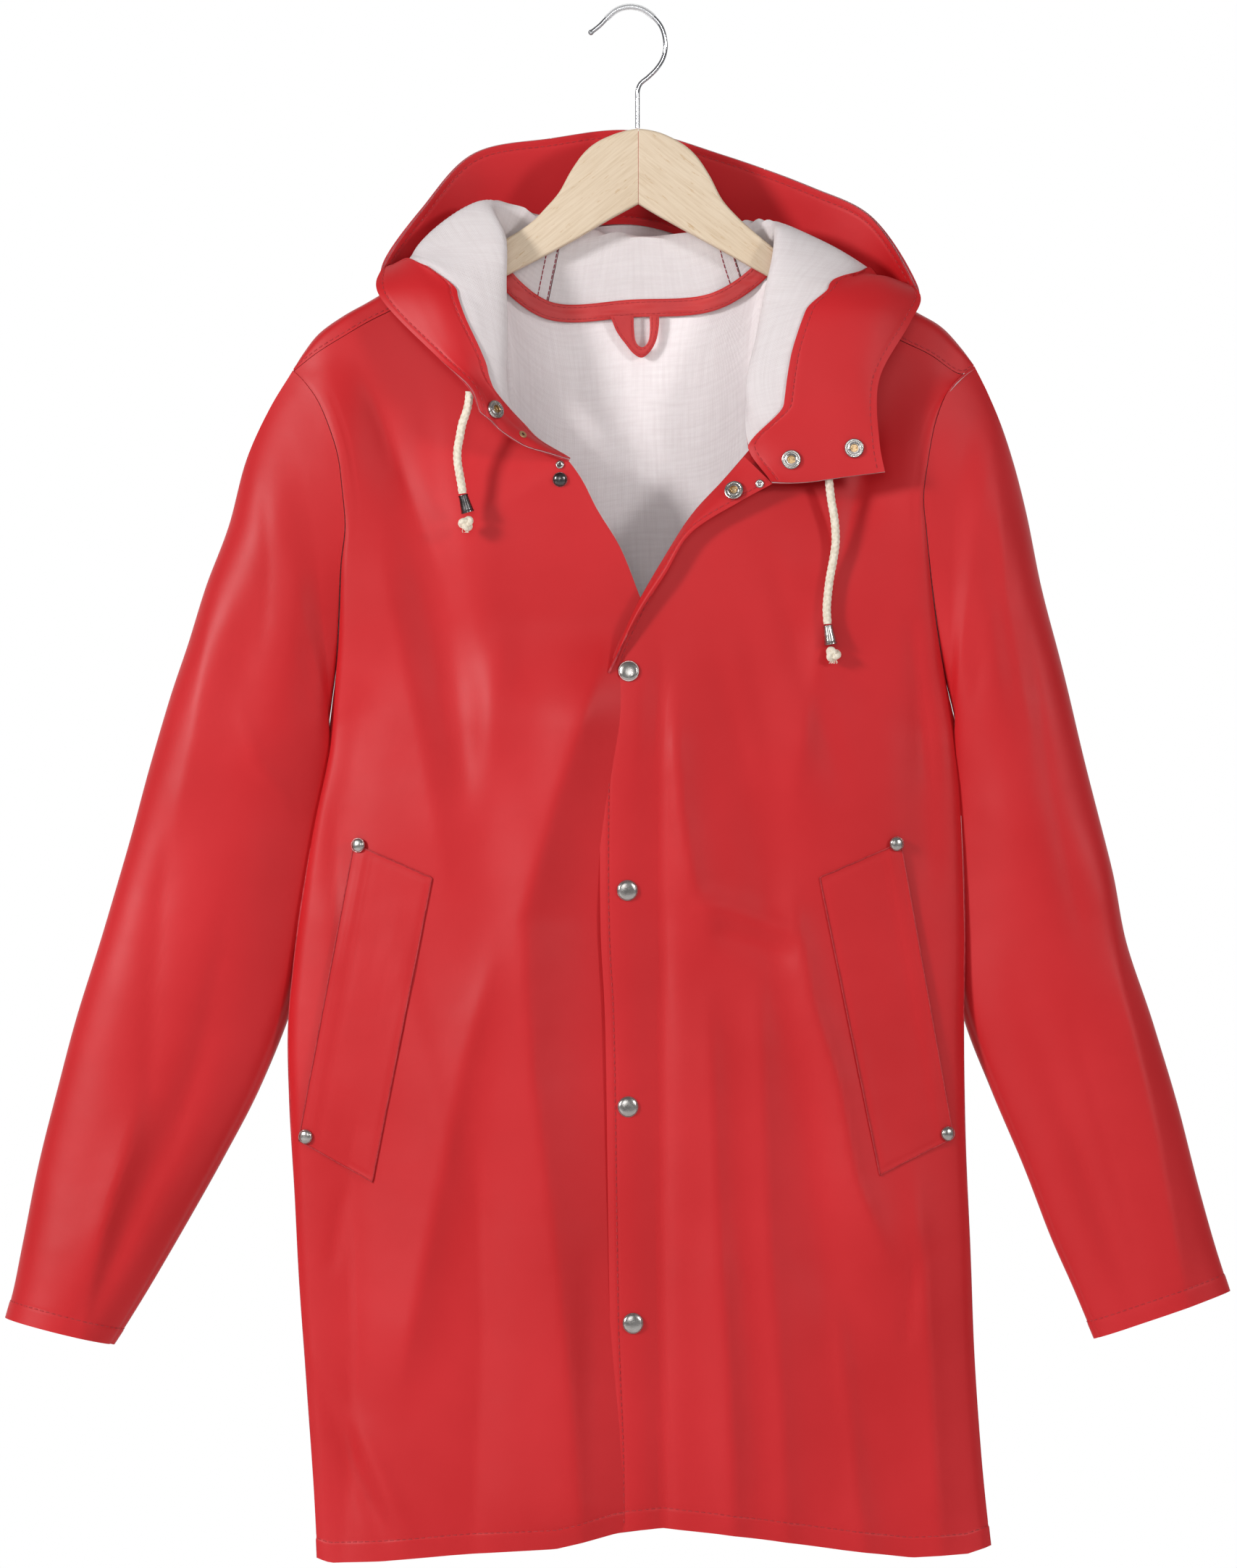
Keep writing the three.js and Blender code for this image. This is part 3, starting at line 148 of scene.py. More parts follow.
# Folded edge of the over front, hem to throat: x, y, z
OVER_EDGE = (
    (-10, -36, -1087), (-11, -37, -1024), (-14, -38, -950), (-18, -38, -718), (-21, -38, -660),
    (-21, -38, -570), (-19, -38, -520), (-14, -38, -470), (3, -38, -430), (24, -38, -393),
    (44, -38, -362), (66, -37, -338),
)
# Free edge of the turned corner: x, y, z
LAPEL_EDGE = (
    (-16, -41, -475), (3.5, -44, -438), (25, -46, -405), (42, -47, -377), (79, -47, -353),
    (101, -46.3, -341),
)
# Hood sections from the left throat round the neck to the right throat: neck seam, roll, crease,
# fall, bag, back and rim, each x, y, z
HOOD = (
    ((-43, -39, -325), (-62, -46, -319), (-77, -50, -314), (-87, -54, -308),
     (-95, -57, -302), (-101, -60, -296), (-107, -62, -291)),
    ((-70, -35, -308), (-87, -46, -297), (-94, -50, -290), (-100, -54, -284),
     (-105, -57, -280), (-109, -60, -277), (-113, -62, -276)),
    ((-87, -30, -282), (-90, -44, -270), (-103, -50, -258), (-113, -52, -252),
     (-121, -53, -249), (-129, -52, -248), (-138, -50, -250)),
    ((-94, -21, -240), (-89, -37, -228), (-110, -43, -214), (-127, -42, -206),
     (-140, -39, -202), (-155, -34, -201), (-179, -26, -205)),
    ((-97.5, -15, -208), (-90, -31, -199), (-134, -34, -187), (-150, -20, -180),
     (-160, -8, -181), (-167, -8, -185), (-179, -13, -192)),
    ((-99.5, -10.5, -174), (-90, -23, -165), (-148, -12, -170), (-155, 12, -178),
     (-161, 24, -201), (-167, 20, -188), (-175, 1, -177)),
    ((-100, 0, -159), (-97, -8, -147), (-108, 2, -138), (-122, 20, -175),
     (-132, 28, -222), (-142, 28, -185), (-150, 12, -142)),
    ((-96, 11.7, -182), (-86, 10.5, -162), (-76, 12, -142), (-84, 33, -210),
     (-92, 43, -295), (-100, 48, -200), (-113, 26, -101)),
    ((-60, 13, -214), (-54, 11, -185), (-47, 14, -154), (-48, 35, -240),
     (-50, 49, -345), (-53, 62, -230), (-57, 36, -89)),
    ((2, 14.5, -213), (2, 12, -185), (2, 15, -160), (2, 37, -250),
     (2, 51, -362), (2, 66, -240), (2, 40, -83)),
    ((62, 13, -207.5), (55, 11, -185), (50, 14, -159), (52, 35, -245),
     (54, 49, -350), (60, 62, -230), (67, 36, -101)),
    ((99, 11, -180), (95, 10.5, -165), (92, 12, -150), (98, 33, -215),
     (106, 44, -300), (118, 48, -210), (131, 26, -125)),
    ((104, 0, -161), (105, -9, -157), (120, -2, -159), (136, 16, -192),
     (148, 26, -238), (160, 28, -200), (172, 12, -146)),
    ((103.5, -10.5, -176), (105, -23, -174), (158, -12, -182), (170, 11, -186),
     (182, 26, -208), (193, 20, -200), (202, -3, -190)),
    ((98, -15, -206), (99, -32, -203), (138, -36, -203), (160, -24, -196),
     (180, -13, -194), (195, -12, -200), (207, -15, -208)),
    ((92, -22, -240), (93, -38, -232), (118, -44, -222), (142, -43, -216),
     (162, -40, -214), (180, -36, -216), (197, -30, -228)),
    ((84, -31, -280), (85, -44, -274), (108, -49, -268), (128, -50, -265),
     (146, -50, -264), (162, -49, -264), (176, -46, -268)),
    ((85, -37, -316), (98, -44, -314), (116, -48, -312), (134, -49, -312),
     (150, -50, -311), (165, -50, -311), (177, -50, -312)),
    ((100, -49, -341), (114, -49, -341), (128, -49, -340), (142, -49.5, -338),
     (156, -50, -336), (169, -51, -334.5), (181, -52, -333)),
)
# Sleeve sections: outer x, z, inner x, z, how far the inner edge hangs behind, half depth
SLEEVE_LEFT = (
    (-257, -284, -219.5, -516, -5, 26), (-274, -321, -220, -520, -2, 31),
    (-287, -369, -219, -526, 3, 35), (-303, -411, -217.5, -534, 7, 37),
    (-316, -454, -217, -543, 10, 38), (-329, -492, -219, -560, 11, 38),
    (-343, -540, -224, -590, 12, 37), (-357, -591, -232, -636, 12, 36),
    (-377, -660, -241, -703, 11, 35), (-398, -728, -264, -770, 8, 34),
    (-412, -781, -290, -820, 5, 33), (-425, -835, -317, -869, 3, 32),
    (-434, -881, -341, -910, 1, 31), (-441, -915, -360, -941, 0, 30),
    (-447, -936, -369, -955, 0, 30),
)
# The same on the right
SLEEVE_RIGHT = (
    (256, -275, 237.5, -516, -5, 26), (267, -302, 238, -520, -2, 31),
    (283, -359, 237, -526, 3, 34), (294, -413, 235.5, -534, 7, 35),
    (306, -459, 234, -545, 10, 35), (317, -503, 235, -564, 11, 34),
    (328, -549, 236, -597, 12, 33), (345, -616, 237, -658, 12, 31),
    (355, -667, 238, -713, 11, 30), (375, -728, 258, -773, 8, 28), (393, -789, 280, -824, 5, 26),
    (408, -847, 300, -876, 3, 24), (421, -892, 317, -915, 1, 22), (429, -917, 332, -951, 0, 20),
)
# Soft troughs of the fronts: from x, z, to x, z, width, depth (a ridge is below 0)
FRONT_FOLDS = (
    (-180, -245, -105, -600, 16, 5), (-120, -330, -60, -700, 22, -4),
    (-60, -420, -140, -1000, 26, 4), (-232, -945, -172, -1100, 9, 5),
    (-25, -880, -30, -1090, 12, 5), (-190, -480, -215, -640, 14, 4), (70, -420, 120, -760, 20, 4),
    (120, -720, 165, -1090, 20, 5), (55, -860, 75, -1085, 16, -4), (205, -480, 215, -640, 14, 4),
    (170, -300, 120, -480, 18, 4),
)
# Soft troughs of the back, in the same columns
BACK_FOLDS = (
    (-170, -300, -90, -800, 22, 5), (160, -320, 110, -860, 24, 5),
    (-40, -480, -60, -1080, 26, -5), (60, -620, 90, -1085, 22, 5),
    (-150, -900, -165, -1095, 16, 5), (0, -760, 10, -1085, 20, -4),
)
# Creases of the sleeves: along, round, length, width as shares, depth
SLEEVE_FOLDS = (
    (0.8, 0.3, 0.16, 0.035, 5), (0.3, 0.2, 0.12, 0.05, 4), (0.55, 0.36, 0.2, 0.06, 3),
    (0.45, 0.72, 0.2, 0.06, 4), (0.75, 0.8, 0.16, 0.05, 4),
)
# Corners of the pocket welts from the upper rivet round: x, z
POCKET_LEFT = ((-197, -597), (-141, -621), (-184, -838), (-237, -809))
POCKET_RIGHT = ((193, -596), (135, -621), (178, -833), (231, -807))
# Fittings: sheet, x, z
RIVETS = (("under", -193, -598), ("under", -231, -806), ("over", 189.5, -597), ("over", 226, -804))
CAPS = ((-1, -474), (-2, -630), (-1.5, -784), (2, -938))
SOCKETS = (("right", 115, -324), ("right", 159, -316), ("lapel", 74, -346), ("left", -98, -290))
STUD = ("under", -50, -337.5)
EYELETS = (("lapel", 92, -341), ("left", -78, -308), ("under", -50, -327))
CORD_EYELETS = (("left", -106, -279), ("right", 141, -325))
# Cord route from its eyelet: x, y, z
CORD_LEFT = (
    (-113.9, -58.7, -276), (-114.7, -57.6, -284), (-116.5, -55.8, -291), (-119, -54.2, -298),
    (-121, -53.2, -308), (-122.6, -52.5, -317), (-122.6, -52, -325), (-121.2, -51.6, -334),
    (-119.8, -51.2, -342), (-119, -51, -348),
)
TIP_LEFT = (-115.3, -50.6, -361.5)
KNOT_LEFT = (-116.4, -50.4, -369.5)
# The same on the right
CORD_RIGHT = (
    (141, -45.4, -330), (141.2, -45, -337), (142, -44.4, -345), (143.2, -43.8, -354),
    (145, -43.4, -364), (146, -43, -374), (146, -42.8, -384), (144.4, -42.6, -395),
    (142, -42.4, -408), (140.6, -42.2, -419), (139.8, -42, -430), (140.4, -42, -440.5),
)
TIP_RIGHT = (142.8, -41.8, -455)
KNOT_RIGHT = (144.2, -41.6, -462.3)
# Wire of the hook from its ball: x, z
HOOK = (
    (-28, -16), (-22, -11.3), (-16, -5.2), (-11, -0.8), (-6, 1.5), (0, 2.4), (5, 1.8), (10, 0),
    (18, -6.3), (23, -13.4), (25.4, -26), (23.6, -34.6), (19, -42), (13, -48), (7.4, -52.8),
    (5.5, -57.5), (5.3, -64), (5.3, -74), (5.3, -84.6),
)
# Outline of the hanger halves from the top of the joint: x, z
ARM_LEFT = (
    (5.7, -85.2), (-2, -86.4), (-11, -89), (-24, -95), (-33, -102.5), (-42, -115), (-51, -131),
    (-60, -141.5), (-71, -152.5), (-88, -163.5), (-130, -182.5), (-160, -197), (-186, -211.2),
    (-197, -217.5), (-203, -223), (-206, -231), (-203, -239), (-196, -242.5), (-180, -236),
    (-140, -215.5), (-88, -190), (-40, -165), (-18, -152), (5.7, -139),
)
# The same on the right
ARM_RIGHT = (
    (6, -85.2), (14, -86.2), (24, -89), (39, -97), (48, -105.5), (57, -119), (66, -136),
    (77, -148.5), (88, -158.5), (101, -169), (108, -174.5), (135, -187), (165, -200), (190, -212),
    (200, -217), (207, -223), (210, -231), (207, -239), (200, -242.5), (184, -235), (145, -214.5),
    (101, -192), (63, -171), (22, -148.5), (6, -139),
)
# Finer creases that only show here: x0, z0, x1, z1, width, depth away from the viewer
FRONT_CREASES = (
    (-196, -250, -128, -420, 7, 1.6), (-232, -948, -158, -1092, 8, -4.2),
    (-212, -560, -206, -700, 6, 1.4), (-175, -640, -120, -860, 10, -1.6),
    (96, -380, 150, -560, 9, 1.6), (45, -636, 118, -662, 10, -3.6), (56, -654, 118, -680, 10, 2.2),
    (180, -290, 140, -430, 7, 1.4), (200, -430, 214, -560, 7, 1.8), (-150, -262, -112, -520, 12, 1.8),
    (-90, -440, -112, -590, 10, -1.6), (70, -440, 96, -560, 9, -1.6),
    (-204, -840, -214, -905, 5, 1.6), (206, -880, 196, -960, 6, 1.6),
)
# The same on the back
BACK_CREASES = (
    (-190, -280, -120, -520, 9, 1.8), (180, -300, 130, -560, 9, 1.9),
    (-30, -330, -64, -470, 12, 1.4), (60, -340, 92, -480, 12, 1.4),
    (-200, -560, -186, -860, 8, 1.6), (205, -520, 196, -800, 8, 1.6),
)
# Long uneven pleats: a line of x, z from the top down, reach left and right, depth away
FRONT_PLEATS = (
    (((-22, -470), (-52, -560), (-77, -650), (-70, -760), (-56, -870), (-40, -1010), (-34, -1110)),
     90, 38, -24.0),
    (((23, -470), (24, -700), (23, -900), (25, -1110)), 27, 8, 6.0),
    (((30, -500), (36, -570), (46, -632), (58, -655)), 20, 12, -6.5),
    (((116, -640), (130, -712), (147, -765), (160, -835), (182, -890)), 22, 14, -9.0),
    (((56, -720), (62, -860), (70, -980), (74, -1110)), 22, 14, -7.0),
    (((92, -700), (98, -860), (108, -1000), (112, -1110)), 20, 13, -5.6),
    (((148, -930), (158, -1020), (168, -1110)), 20, 13, -7.0),
    (((-98, -680), (-118, -750), (-140, -860), (-164, -980)), 26, 20, -9.0),
    (((-108, -820), (-104, -940), (-112, -1110)), 22, 14, 5.6),
    (((-200, -800), (-198, -960), (-204, -1110)), 34, 14, 6.5),
    (((204, -840), (214, -960), (222, -1110)), 18, 12, -5.4),
    (((-176, -400), (-150, -520), (-132, -620)), 30, 22, -6.5),
    (((150, -360), (132, -470), (118, -560)), 28, 20, -6.5),
)
# The same on the back
BACK_PLEATS = (
    (((-96, -430), (-104, -640), (-88, -860), (-96, -1110)), 34, 22, 4.5),
    (((88, -460), (110, -660), (104, -880), (120, -1110)), 22, 30, 4.0),
    (((14, -540), (4, -760), (16, -940), (22, -1110)), 30, 20, 2.8),
    (((-150, -760), (-162, -920), (-170, -1110)), 14, 12, 2.6),
    (((158, -780), (170, -940), (182, -1110)), 14, 12, 2.4),
)
# The same on the sleeves
SLEEVE_PLEATS_LEFT = (
    (((-330, -590), (-340, -690), (-345, -800)), 12, 16, 3.6),
    (((-352, -790), (-374, -870), (-392, -950)), 15, 11, -6.0),
    (((-276, -505), (-266, -540), (-246, -566)), 8, 10, -2.6),
    (((-300, -420), (-312, -520), (-330, -600)), 16, 14, -2.2),
    (((-262, -330), (-258, -400), (-262, -450)), 8, 9, 1.4),
    (((-286, -640), (-306, -740), (-330, -830)), 9, 10, 1.8),
)
SLEEVE_PLEATS_RIGHT = (
    (((284, -440), (300, -560), (322, -660)), 12, 16, 2.6),
    (((340, -600), (352, -700), (376, -800), (398, -930)), 16, 12, -4.2),
    (((262, -340), (268, -420), (286, -520)), 10, 12, -2.4),
    (((318, -730), (342, -820), (364, -900)), 9, 12, 2.4),
    (((300, -330), (322, -450), (338, -540)), 12, 14, 1.8),
)
# Finer creases of the sleeves, in the columns of the sleeve creases above
SLEEVE_LEFT_CREASES = (
    (0.82, 0.30, 0.05, 0.10, -2.2), (0.20, 0.33, 0.08, 0.04, 1.6), (0.47, 0.26, 0.05, 0.10, 1.6),
    (0.35, 0.78, 0.14, 0.04, 1.8), (0.62, 0.70, 0.16, 0.04, 2.2),
)
SLEEVE_RIGHT_CREASES = (
    (0.72, 0.24, 0.05, 0.12, 2.2), (0.22, 0.30, 0.08, 0.04, 1.8), (0.50, 0.22, 0.05, 0.10, -1.6),
    (0.35, 0.76, 0.14, 0.04, 1.9), (0.64, 0.72, 0.16, 0.04, 2.0),
)
# Width of the strip inside the hood's rim: place along the hood, width
FACING_EDGE = (
    (0, 60), (1.6, 30), (2, 38), (2.5, 50), (3, 62), (3.4, 60), (3.7, 44), (4, 14), (5, 30),
    (6, 58), (7, 68), (11, 68), (12, 50), (13, 60), (13.5, 80), (14, 77), (15, 80), (15.5, 73),
    (16, 64), (16.35, 66), (18, 66),
)
# Hanging loop from the upper right round to the left: its outer edge, then its hole
LOOP_OUTER = (
    (20.9, -218.5), (20.7, -226), (18.4, -237), (13.6, -245), (8.2, -248.5), (3, -246),
    (-3.4, -238.5), (-9.5, -230), (-14.3, -218.5),
)
LOOP_HOLE = (
    (14.0, -218.5), (14.2, -228), (13.2, -236), (10.8, -240), (8.4, -241), (5.8, -239.6),
    (3.8, -236), (2.8, -228), (2.6, -218.5),
)


# Curves and surfaces
def mix(a, b, t):
    return a + (b - a) * t


def smooth(a, b, t):
    k = np.clip((np.asarray(t, float) - a) / (b - a), 0, 1)
    return k * k * (3 - 2 * k)


def unit(v):
    return v / np.maximum(np.linalg.norm(v, axis=-1, keepdims=True), 1e-12)


class Spline:
    """Centripetal curve through points."""

    def __init__(self, points):
        p = np.asarray(points, float)
        p = np.vstack([2 * p[0] - p[1], p, 2 * p[-1] - p[-2]])
        step = np.maximum(np.sum((p[1:] - p[:-1]) ** 2, axis=1) ** 0.25, 1e-4)[:, None]
        d0, d1, d2 = step[:-2], step[1:-1], step[2:]
        a, b, c, d = p[:-3], p[1:-2], p[2:-1], p[3:]
        start = ((b - a) / d0 - (c - a) / (d0 + d1) + (c - b) / d1) * d1
        end = ((c - b) / d1 - (d - b) / (d1 + d2) + (d - c) / d2) * d1
        self.terms = (b, start, -3 * b + 3 * c - 2 * start - end, 2 * b - 2 * c + start + end)

    def at(self, t):
        spans = len(self.terms[0])
        place = np.clip(np.asarray(t, float), 0, 1) * spans
        span = np.minimum(place.astype(int), spans - 1)
        w = (place - span)[..., None]
        c0, c1, c2, c3 = (term[span] for term in self.terms)
        return c0 + w * (c1 + w * (c2 + w * c3))

    def by_length(self, share):
        t = np.linspace(0, 1, 201)
        reach = lengths(self.at(t))
        return self.at(np.interp(np.asarray(share, float) * reach[-1], reach, t))


def lengths(points):
    steps = np.linalg.norm(np.diff(points, axis=0), axis=1)
    return np.concatenate([[0], np.cumsum(steps)])


def dense(points, count):
    return Spline(points).by_length(np.linspace(0, 1, count + 1))


def path(points):
    points = np.asarray(points, float)
    reach = lengths(points)

    def at(t):
        goal = np.clip(np.asarray(t, float), 0, 1) * reach[-1]
        return np.stack([np.interp(goal, reach, points[:, k]) for k in range(3)], axis=-1)

    return at


def fold_at(folds, x, z):
    push = np.zeros(np.broadcast(x, z).shape)
    for x0, z0, x1, z1, width, depth in folds:
        dx, dz = x1 - x0, z1 - z0
        length = math.hypot(dx, dz)
        along = ((x - x0) * dx + (z - z0) * dz) / length**2
        off = ((x - x0) * dz - (z - z0) * dx) / length
        ends = smooth(-0.05, 0.25, along) * smooth(1.1, 0.75, along)
        push = push + depth * ends * np.exp(-((off / width) ** 2))
    return push


def pleats_at(pleats, x, z):
    """Depth of long pleats that follow a bent line, steeper on one side."""
    push = np.zeros(np.broadcast(x, z).shape)
    for line, left, right, depth in pleats:
        falls = np.array([-point[1] for point in line], float)
        across = np.interp(-z, falls, [point[0] for point in line])
        off = x - across
        reach = np.where(off < 0, left, right)
        ends = smooth(falls[0] - 35, falls[0] + 45, -z) * smooth(falls[-1] + 35, falls[-1] - 45, -z)
        push = push + depth * ends * np.exp(-(np.abs(off / reach) ** 1.2))
    return push


def ripple(x, z, seed, scale):
    """A smooth uneven height from a few sine waves, between about -1 and 1."""
    rng = np.random.default_rng(seed)
    total = 0
    for _ in range(7):
        turn, phase = rng.uniform(0, 2 * math.pi, 2)
        rate = rng.uniform(0.5, 1.6) * 2 * math.pi / scale
        total = total + np.sin(rate * (x * math.cos(turn) + z * math.sin(turn)) + phase)
    return total / 4


# Hood
HOOD_POINTS = np.array(HOOD, float)
HOOD_LAST = len(HOOD) - 1
HOOD_SECTIONS = [Spline(row) for row in HOOD_POINTS]


def hood_at(s, t):
    """Points of the hood's outside for lists s and t of one shape."""
    s, t = np.broadcast_arrays(np.asarray(s, float), np.asarray(t, float))
    flat_s, flat_t = s.ravel(), np.clip(t.ravel(), 0, 1)
    result = np.empty((len(flat_s), 3))
    values, where = np.unique(np.round(flat_t, 5), return_inverse=True)
    for k, value in enumerate(values):
        line = Spline([section.at(value) for section in HOOD_SECTIONS])
        result[where == k] = line.at(flat_s[where == k] / HOOD_LAST)
    return result.reshape(s.shape + (3,))


HOOD_T = np.linspace(0, 1, 241)
HOOD_S = np.linspace(0, HOOD_LAST, 541)
HOOD_NET = np.empty((len(HOOD_T), len(HOOD_S), 3))
for row, value in enumerate(HOOD_T):
    HOOD_NET[row] = Spline([part.at(value) for part in HOOD_SECTIONS]).at(HOOD_S / HOOD_LAST)
HOOD_REACH = np.concatenate([
    np.zeros((1, len(HOOD_S))),
    np.cumsum(np.linalg.norm(np.diff(HOOD_NET, axis=0), axis=2), axis=0),
])


def net_pick(row, column):
    """The hood net at fractional rows and columns."""
    i = np.clip(np.floor(row).astype(int), 0, HOOD_NET.shape[0] - 2)
    j = np.clip(np.floor(column).astype(int), 0, HOOD_NET.shape[1] - 2)
    a, b = (row - i)[..., None], (column - j)[..., None]
    low = mix(HOOD_NET[i, j], HOOD_NET[i, j + 1], b)
    high = mix(HOOD_NET[i + 1, j], HOOD_NET[i + 1, j + 1], b)
    return mix(low, high, a)


def hood_length(s):
    return np.interp(s, HOOD_S, HOOD_REACH[-1])


def hood_by_reach(s, reach):
    """Hood points at place s and at a length in millimetres up from the neck seam."""
    s, reach = np.broadcast_arrays(np.asarray(s, float), np.asarray(reach, float))
    column = s / HOOD_LAST * (len(HOOD_S) - 1)
    low = np.clip(np.floor(column).astype(int), 0, len(HOOD_S) - 2)
    share = column - low
    row = np.empty(s.shape)
    for index in np.ndindex(s.shape):
        known = mix(HOOD_REACH[:, low[index]], HOOD_REACH[:, low[index] + 1], share[index])
        row[index] = np.interp(reach[index], known, np.arange(len(HOOD_T)))
    return net_pick(row, column)


def neck_seam(s):
    return Spline(HOOD_POINTS[:, 0]).at(np.asarray(s, float) / HOOD_LAST)


def panel_neck(s):
    middle = (NECK_LEFT + NECK_RIGHT) / 2
    half = (NECK_RIGHT - NECK_LEFT) / 2
    back = smooth(half + NECK_TURN, half - 0.1, np.abs(s - middle))
    point = neck_seam(s)
    point[..., 1] += LAY_GAP + back * (CLOTH + LAY_GAP)
    point[..., 0] *= 1 + 0.024 * back
    return point


# Body
def outer_edge(side, armhole, column):
    apart = -SIDE_SEAM_HALF if column == 2 else SIDE_SEAM_HALF
    body = dense([(x, SIDE_SEAM_Y + apart, z) for x, z in side[::-1]], 90)
    arm = dense([(row[0], row[column] + apart, row[1]) for row in armhole[::-1]], 60)
    return path(np.vstack([body, arm[1:]]))


def soften(curve, width):
    """The same curve with its corners rounded over a share of its length."""
    count = 241
    points = curve(np.linspace(0, 1, count))
    reach = int(width * count)
    low = 2 * points[0] - points[reach:0:-1]
    high = 2 * points[-1] - points[-2:-reach - 2:-1]
    long = np.vstack([low, points, high])
    weight = np.exp(-((np.linspace(-2, 2, 2 * reach + 1)) ** 2))
    weight = weight / weight.sum()
    soft = np.stack([np.convolve(long[:, k], weight, "valid") for k in range(3)], axis=-1)
    places = np.linspace(0, 1, count)

    def at(t):
        return np.stack([np.interp(t, places, soft[:, k]) for k in range(3)], axis=-1)

    return at


def quarter(u):
    return 1 - np.cos(u * math.pi / 2)


def hem_point(x):
    z = np.interp(x, [row[0] for row in HEM], [row[1] for row in HEM])
    return np.stack([x, np.zeros_like(x), z], axis=-1)


def coons(bottom, top, left, right, w, v):
    """The patch between four edges: w across and v up as arrays of one shape."""
    w1, v1 = w[..., None], v[..., None]
    zero, one = np.zeros_like(w), np.ones_like(w)
    point = mix(bottom(w), top(w), v1)
    low = mix(bottom(zero), top(zero), v1)
    high = mix(bottom(one), top(one), v1)
    return point + (left(v) - low) * (1 - w1) + (right(v) - high) * w1


def front_panel(side, armhole, edge, neck_from, shoulder, extra):
    outer = outer_edge(side, armhole, 2)
    neck_to = NECK_LEFT - NECK_TURN if neck_from < NECK_LEFT else NECK_RIGHT + NECK_TURN
    neck = panel_neck(np.linspace(neck_from, neck_to, 41))
    inner = path(np.vstack([dense(list(edge) + [neck[0]], 100), neck[1:]]))
    seam = path(dense(list(shoulder) + [neck[-1]], 60))
    start, end = outer(np.zeros(1))[0, 0], inner(np.zeros(1))[0, 0]
    outer_soft, inner_soft = soften(outer, 0.07), soften(inner, 0.09)
    tip_y = outer(np.ones(1))[0, 1]

    def at(u, v):
        u, v = np.broadcast_arrays(np.asarray(u, float), np.asarray(v, float))
        w = quarter(u)
        left = mix(outer(v), outer_soft(v), smooth(0, 0.45, u)[..., None])
        right = mix(inner_soft(v), inner(v), smooth(0.55, 1, u)[..., None])
        point = coons(lambda k: hem_point(mix(start, end, k)), seam, lambda _: left,
                      lambda _: right, w, v)
        side_y = mix(left[..., 1], right[..., 1], np.sin(u * math.pi / 2))
        top_y = seam(w)[..., 1] + (left[..., 1] - tip_y) * smooth(0.35, 0, w)
        point[..., 1] = mix(side_y, top_y, smooth(0.78, 1, v))
        rim = np.sin(math.pi * np.clip(u, 0, 1)) * smooth(1, 0.86, v)
        x, z = point[..., 0], point[..., 2]
        point[..., 1] += fold_at(FRONT_FOLDS, x, z) * rim
        soft = np.minimum(1, np.sin(math.pi * np.clip(u, 0, 1)) * 5) * smooth(1, 0.97, v)
        point[..., 1] += (fold_at(extra, x, z) + pleats_at(FRONT_PLEATS, x, z)) * soft
        point[..., 2] -= 0.9 * smooth(0.9, 1, v)
        return point

    return at


def ridge_back(ridge, neck):
    points = []
    for i, (x, z) in enumerate(ridge[:-1]):
        opened = min(1, i / 2)
        points.append((x, mix(3, RIDGE_HALF, opened), z - mix(1.5, 3, opened)))
    return path(dense(points + [neck], 60))


def back_parts():
    ends = np.array([NECK_LEFT + NECK_TURN, NECK_RIGHT - NECK_TURN])
    neck = path(panel_neck(np.linspace(ends[0], ends[1], 81)))
    ridge_left = ridge_back(RIDGE_LEFT, panel_neck(ends)[0])
    ridge_right = ridge_back(RIDGE_RIGHT, panel_neck(ends)[1])
    left = outer_edge(SIDE_LEFT, ARMHOLE_LEFT, 3)
    right = outer_edge(SIDE_RIGHT, ARMHOLE_RIGHT, 3)
    start, end = left(np.zeros(1))[0, 0], right(np.zeros(1))[0, 0]
    left_soft, right_soft = soften(left, 0.07), soften(right, 0.07)

    def top(u):
        first = ridge_left(u / SHOULDER_SHARE)
        last = ridge_right((1 - u) / SHOULDER_SHARE)
        middle = neck((u - SHOULDER_SHARE) / (1 - 2 * SHOULDER_SHARE))
        inside = (u > SHOULDER_SHARE)[..., None]
        beyond = (u >= 1 - SHOULDER_SHARE)[..., None]
        return np.where(beyond, last, np.where(inside, middle, first))

    def at(u, v):
        u, v = np.broadcast_arrays(np.asarray(u, float), np.asarray(v, float))
        w = (1 - np.cos(u * math.pi)) / 2
        v1, w1 = v[..., None], w[..., None]
        bottom = hem_point(mix(start, end, w))
        zero, one = np.zeros_like(u), np.ones_like(u)
        low = mix(hem_point(zero + start), top(zero), v1)
        high = mix(hem_point(zero + end), top(one), v1)
        one_side = mix(left(v), left_soft(v), smooth(0, 0.25, u)[..., None])
        other = mix(right_soft(v), right(v), smooth(0.75, 1, u)[..., None])
        point = mix(bottom, top(u), v1) + (one_side - low) * (1 - w1) + (other - high) * w1
        edge = mix(one_side[..., 1], other[..., 1], w)
        swell = edge + (BACK_DEPTH - edge) * np.sin(u * math.pi) * 0.98
        flat = mix(swell, top(u)[..., 1], smooth(0.7, 1, v))
        rim = np.sin(u * math.pi) * smooth(1, 0.8, v)
        x, z = point[..., 0], point[..., 2]
        soft = np.minimum(1, np.sin(math.pi * u) * 5) * smooth(1, 0.92, v)
        point[..., 1] = flat - fold_at(BACK_FOLDS, x, z) * rim
        point[..., 1] -= (fold_at(BACK_CREASES, x, z) + pleats_at(BACK_PLEATS, x, z)) * soft
        return point

    return at


